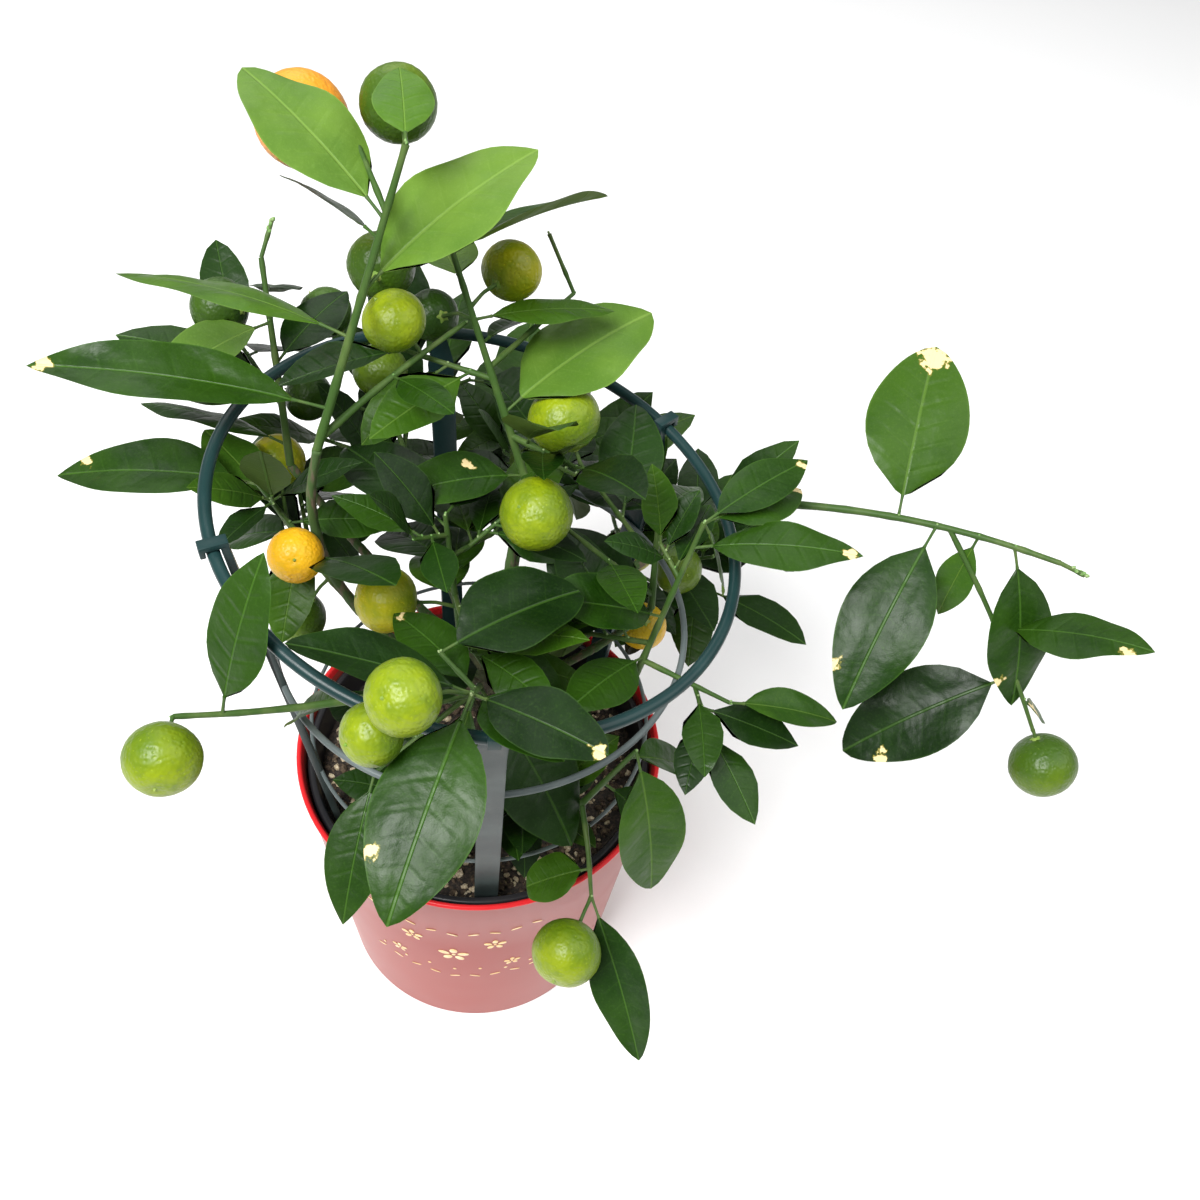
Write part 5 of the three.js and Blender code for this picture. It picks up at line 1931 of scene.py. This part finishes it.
class Mass:
    """One mass of foliage, grown from the tip of its bough."""

    TAPER, THINNER, FINEST, STEP = 0.62, 0.85, 0.8, 22
    TINTS = (Tint.DEEP, Tint.DARK, Tint.DARK, Tint.DEEP, Tint.MID)
    TUFT = 7
    FRUIT_STALK, LEAF_STALK = (0.75, 0.7), (0.62, 0.5)
    SHOOT, SHOOT_LEAVES, SHOOT_LEAF = 1.0, 4, 38.0

    def __init__(self, name: str, plan: Plan, crown: "Crown") -> None:
        """Grow the stem from the tip of its bough."""
        self.name, self.plan, self.crown = name, plan, crown
        bough = BOUGHS[MASS_BOUGHS[name]]
        self.own = (name, MASS_BOUGHS[name])
        self.draw, self.look = Draws(plan.seed), Draws(plan.seed + 1000)
        self.stem = self.course_of(crown.wood.course(bough)[-1], plan.stem)
        self.branches: list[Branch] = []
        self.keep(self.stem, bough.tip, plan.stem, Age.MATURE)

    def course_of(self, start: Vector, part: Twig) -> list[Vector]:
        """Return the middle line of a stem or twig."""
        return course(start, part, max(2, round(part.reach / self.STEP)))

    def tip_of(self, foot: float) -> float:
        """Return the radius that a twig tapers to."""
        return max(foot * self.TAPER, self.FINEST)

    def keep(self, points: list[Vector], foot: float, plan: Twig, age: Age) -> None:
        """Keep a twig: remember its room, and add its wood and the buds at its tip.

        Args:
            points: Its middle line.
            foot: Its radius at its foot.
            plan: What stands on it, and how it ends.
            age: Its skin, unless it is dead.
        """
        tip = self.tip_of(foot)
        self.branches.append(Branch(points, foot, plan))
        self.crown.room.add(self.name, "twig", rod(points, foot, tip))
        if plan.tip is Tip.DEAD:
            age = Age.DEAD
        self.crown.twigs.add(points, foot, tip, age)
        end, ahead = points[-1], (points[-1] - points[-2]).normalized()
        count = self.TUFT if plan.tip is Tip.BUDS else 1
        for index in range(count):
            side = heading(GOLDEN_ANGLE * index, 30)
            lead = (ahead + side * (0.0 if count == 1 else 0.9)).normalized()
            self.crown.twigs.add_bud(end - ahead * (index * 0.9), lead, 0.85 if count > 1 else 0.6)

    def grow_twigs(self, wanted: Callable[[Twig], bool]) -> None:
        """Grow the planned twigs that are wanted, on all that is there."""
        for branch in self.branches:
            for item in filter(wanted, branch.plan.twigs):
                thick = branch.foot + (self.tip_of(branch.foot) - branch.foot) * item.at
                foot = max(thick * self.THINNER, self.FINEST)
                self.keep(self.course_of(along(branch.points, item.at), item), foot, item, Age.GREEN)

    def grow_fruits(self) -> None:
        """Grow the fruits."""
        for branch in self.branches:
            for item in branch.plan.fruits:
                node = along(branch.points, item.at)
                centre = node + heading(item.turn, item.rise) * item.reach
                rings = [
                    [centre + heading(turn, rise) * item.size / 2 for turn in range(0, 360, 45)]
                    for rise in (-60, 0, 60)
                ]
                self.crown.room.add(self.name, "fruit", skin(rings))
                self.crown.twigs.add_stalk(self.crown.harvest.add(node, item, self.look), *self.FRUIT_STALK)

    def grow_leaves(self) -> None:
        """Grow the stated leaves."""
        for branch in self.branches:
            for item in branch.plan.leaves:
                self.keep_leaf(along(branch.points, item.at), item, FINE_BLADE)

    def keep_leaf(self, node: Vector, item: Leaf, blade: Blade) -> None:
        """Keep a leaf: remember its room, and add its blade, stalk and bud.

        Args:
            node: Where it leaves its twig.
            item: The leaf.
            blade: The grid of its blade.
        """
        self.crown.room.add(self.name, "leaf", leaf_shell(node, item, outer=False))
        stalk = self.crown.leafage.add(node, item, self.look, blade)
        self.crown.twigs.add_stalk(stalk, *self.LEAF_STALK)
        up = Vector((0, 0, 1))
        self.crown.twigs.add_bud(node + up * 0.9, (heading(item.turn, 0) + up).normalized(), 0.5)

    def holds(self, point: Vector) -> bool:
        """Return whether a point lies in the mass's own space."""
        return any((node - point).length < self.plan.spread for node in self.stem)

    def admits(self, end: Vector, whole: Shell, outer: Shell) -> bool:
        """Return whether a part keeps to the space and clear of what is there.

        Args:
            end: The part's tip.
            whole: Its shell, which keeps clear of other masses and of all that is firm.
            outer: Its shell without its root, which keeps clear of the mass's own leaves and fruits.

        Returns:
            Whether it may be kept.
        """
        room = self.crown.room
        return (
            self.holds(end)
            and not room.meets(whole, lambda old: old.owner not in self.own)
            and not room.meets(outer, lambda old: old.owner in self.own and old.kind != "twig")
        )

    def grow_drawn_leaves(self) -> None:
        """Set leaves by the golden angle round each twig that has a count."""
        for branch in list(self.branches):
            for index in range(branch.plan.drawn):
                self.grow_drawn_leaf(branch, index, branch.plan.drawn, branch.plan.size)

    def grow_drawn_leaf(self, branch: Branch, index: int, drawn: int, size: float) -> None:
        """Turn a leaf on round its twig, and make it shorter, until it is clear or left out.

        Args:
            branch: The twig.
            index: The leaf's place among those on the twig.
            drawn: How many stand on it.
            size: Their mean length.
        """
        turn, rise = branch.plan.turn, branch.plan.rise
        ahead, level, upright = heading(turn, rise), heading(turn - 90, 0), heading(turn, rise + 90)
        node = along(branch.points, (index + 1) / drawn)
        full = size * (0.8 + 0.4 * self.draw())
        roll = 30 * (self.draw() - 0.5)
        phase = 50 * self.draw()
        tint = self.TINTS[int(self.look() * len(self.TINTS))]
        for attempt in range(TRIES):
            clock = phase + index * GOLDEN_ANGLE + attempt * 50
            lead = swing(level, upright, clock) * 0.85 + ahead * (1.2 if index + 1 == drawn else 0.55)
            lead.z -= 0.1
            item = Leaf(0, *bearing(lead), full * (1 - 0.06 * attempt), roll=roll, tint=tint)
            end = course(node, Twig(0, item.turn, item.rise, item.length, -item.droop), 4)[-1]
            whole, outer = (leaf_shell(node, item, part, AIR) for part in (False, True))
            if self.admits(end, whole, outer):
                self.keep_leaf(node, item, PLAIN_BLADE)
                return

    def grow_finer(self) -> None:
        """Carry the rule on to finer shoots, each with a few small leaves."""
        shoots = [branch for branch in self.branches if branch.plan.tip is Tip.PLAIN]
        for index in range(self.plan.finer):
            branch = shoots[index % len(shoots)]
            turn, rise = branch.plan.turn, branch.plan.rise
            level, upright = heading(turn - 90, 0), heading(turn, rise + 90)
            clock = GOLDEN_ANGLE * (index + 1) + 40 * self.draw()
            lead = swing(level, upright, clock) * 0.9 + heading(turn, rise) * 0.5
            item = Twig(self.draw.within(0.3, 0.95), *bearing(lead), self.draw.within(14, 26))
            points = self.course_of(along(branch.points, item.at), item)
            whole, outer = (rod(part, self.SHOOT + AIR, self.FINEST + AIR) for part in (points, points[1:]))
            if self.admits(points[-1], whole, outer):
                self.keep(points, self.SHOOT, item, Age.GREEN)
                for leaf in range(self.SHOOT_LEAVES):
                    self.grow_drawn_leaf(self.branches[-1], leaf, self.SHOOT_LEAVES, self.SHOOT_LEAF)


@dataclass
class Crown:
    """The whole crown: fifteen masses that keep clear of one another and of all that is firm."""

    wood: Wood
    room: Room = field(default_factory=Room)
    leafage: Leafage = field(default_factory=Leafage)
    harvest: Harvest = field(default_factory=Harvest)
    twigs: Twigwork = field(default_factory=Twigwork)

    def build(self) -> None:
        """Grow the masses in passes, then make the pieces."""
        for name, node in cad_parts.items():
            if not name.startswith("foliage_"):
                self.room.add_node(name.removeprefix("bough_"), node)
        masses = [Mass(name, plan, self) for name, plan in MASSES.items()]
        for mass in masses:
            mass.grow_twigs(lambda item: not item.drawn)
        for mass in masses:
            mass.grow_fruits()
        for mass in masses:
            mass.grow_leaves()
        for mass in masses:
            mass.grow_twigs(lambda item: item.drawn > 0)
        for mass in masses:
            mass.grow_drawn_leaves()
        for mass in masses:
            mass.grow_finer()
        nodes = [f"foliage_{name}" for name in MASSES]
        self.leafage.build(nodes)
        self.harvest.build(nodes)
        self.twigs.build(nodes)


# ------------------------------------------------------------------ studio


@dataclass(frozen=True)
class Lamp:
    """A soft square light: its place and size in metres, and its power in watts."""

    name: str
    place: tuple[float, float, float]
    size: float
    power: float


@dataclass
class Studio:
    """A pale floor, soft light and the camera, in metres and degrees."""

    spot: tuple[float, float, float] = (0.046, -0.3085, 0.6415)
    down: float = 50.55
    roll: float = 7.25
    lens: float = 37.5
    floor_size: float = 8.0
    floor_level: float = -0.0003
    lit: tuple[float, float, float] = (0.03, 0, 0.25)
    surround: float = 0.26
    lamps: tuple[Lamp, ...] = (
        Lamp("key", (-0.45, -0.7, 1.5), 0.7, 43.0),
        Lamp("fill", (1.1, 0.0, 1.5), 1.6, 20.0),
        Lamp("back", (-0.5, 1.1, 1.4), 1.2, 9.0),
    )

    def build(self) -> None:
        """Set the scene."""
        self.set_camera()
        self.lay_floor()
        for lamp in self.lamps:
            self.hang(lamp)
        self.set_world()
        bpy.context.scene.view_settings.view_transform = "Standard"

    def set_camera(self) -> None:
        """Aim the camera down at the plant, turned a little about its own axis."""
        data = bpy.data.cameras.new("camera")
        data.lens, data.sensor_width = self.lens, 36.0
        camera = linked("camera", data)
        down, roll = math.radians(self.down), math.radians(self.roll)
        right, up = Vector((1, 0, 0)), Vector((0, math.sin(down), math.cos(down)))
        across, above = right * math.cos(roll) + up * math.sin(roll), up * math.cos(roll) - right * math.sin(roll)
        camera.matrix_world = Matrix((across, above, across.cross(above))).transposed().to_4x4()
        camera.location = self.spot
        bpy.context.scene.camera = camera

    def lay_floor(self) -> None:
        """Lay the floor."""
        pick_none()
        bpy.ops.mesh.primitive_plane_add(size=self.floor_size, location=(0, 0, self.floor_level))
        floor = bpy.context.active_object
        floor.name = "floor"
        sketch = Sketch("floor_paper")
        floor.data.materials.append(sketch.done((0.88, 0.88, 0.88), 0.7, sketch.bump(sketch.noise(500.0), 0.00005)))

    def hang(self, lamp: Lamp) -> None:
        """Hang one soft light, aimed at the crown."""
        data = bpy.data.lights.new(lamp.name, "AREA")
        data.shape, data.size, data.energy = "SQUARE", lamp.size, lamp.power
        hung = linked(lamp.name, data)
        hung.location = lamp.place
        hung.rotation_euler = (Vector(lamp.place) - Vector(self.lit)).to_track_quat("Z", "Y").to_euler()

    def set_world(self) -> None:
        """Give an even pale surround."""
        world = bpy.data.worlds.new("surround")
        world.use_nodes = True
        world.node_tree.nodes["Background"].inputs["Color"].default_value = (1.0, 1.0, 1.0, 1.0)
        world.node_tree.nodes["Background"].inputs["Strength"].default_value = self.surround
        bpy.context.scene.world = world


def main() -> None:
    """Build every piece."""
    logging.basicConfig(level=logging.INFO, format="%(name)s %(message)s")
    pick_none()
    Studio().build()
    CoverPot().build()
    NurseryPot().build()
    Soil().build()
    Trellis().build()
    wood = Wood()
    wood.build()
    Crown(wood).build()


if __name__ == "__main__":
    main()
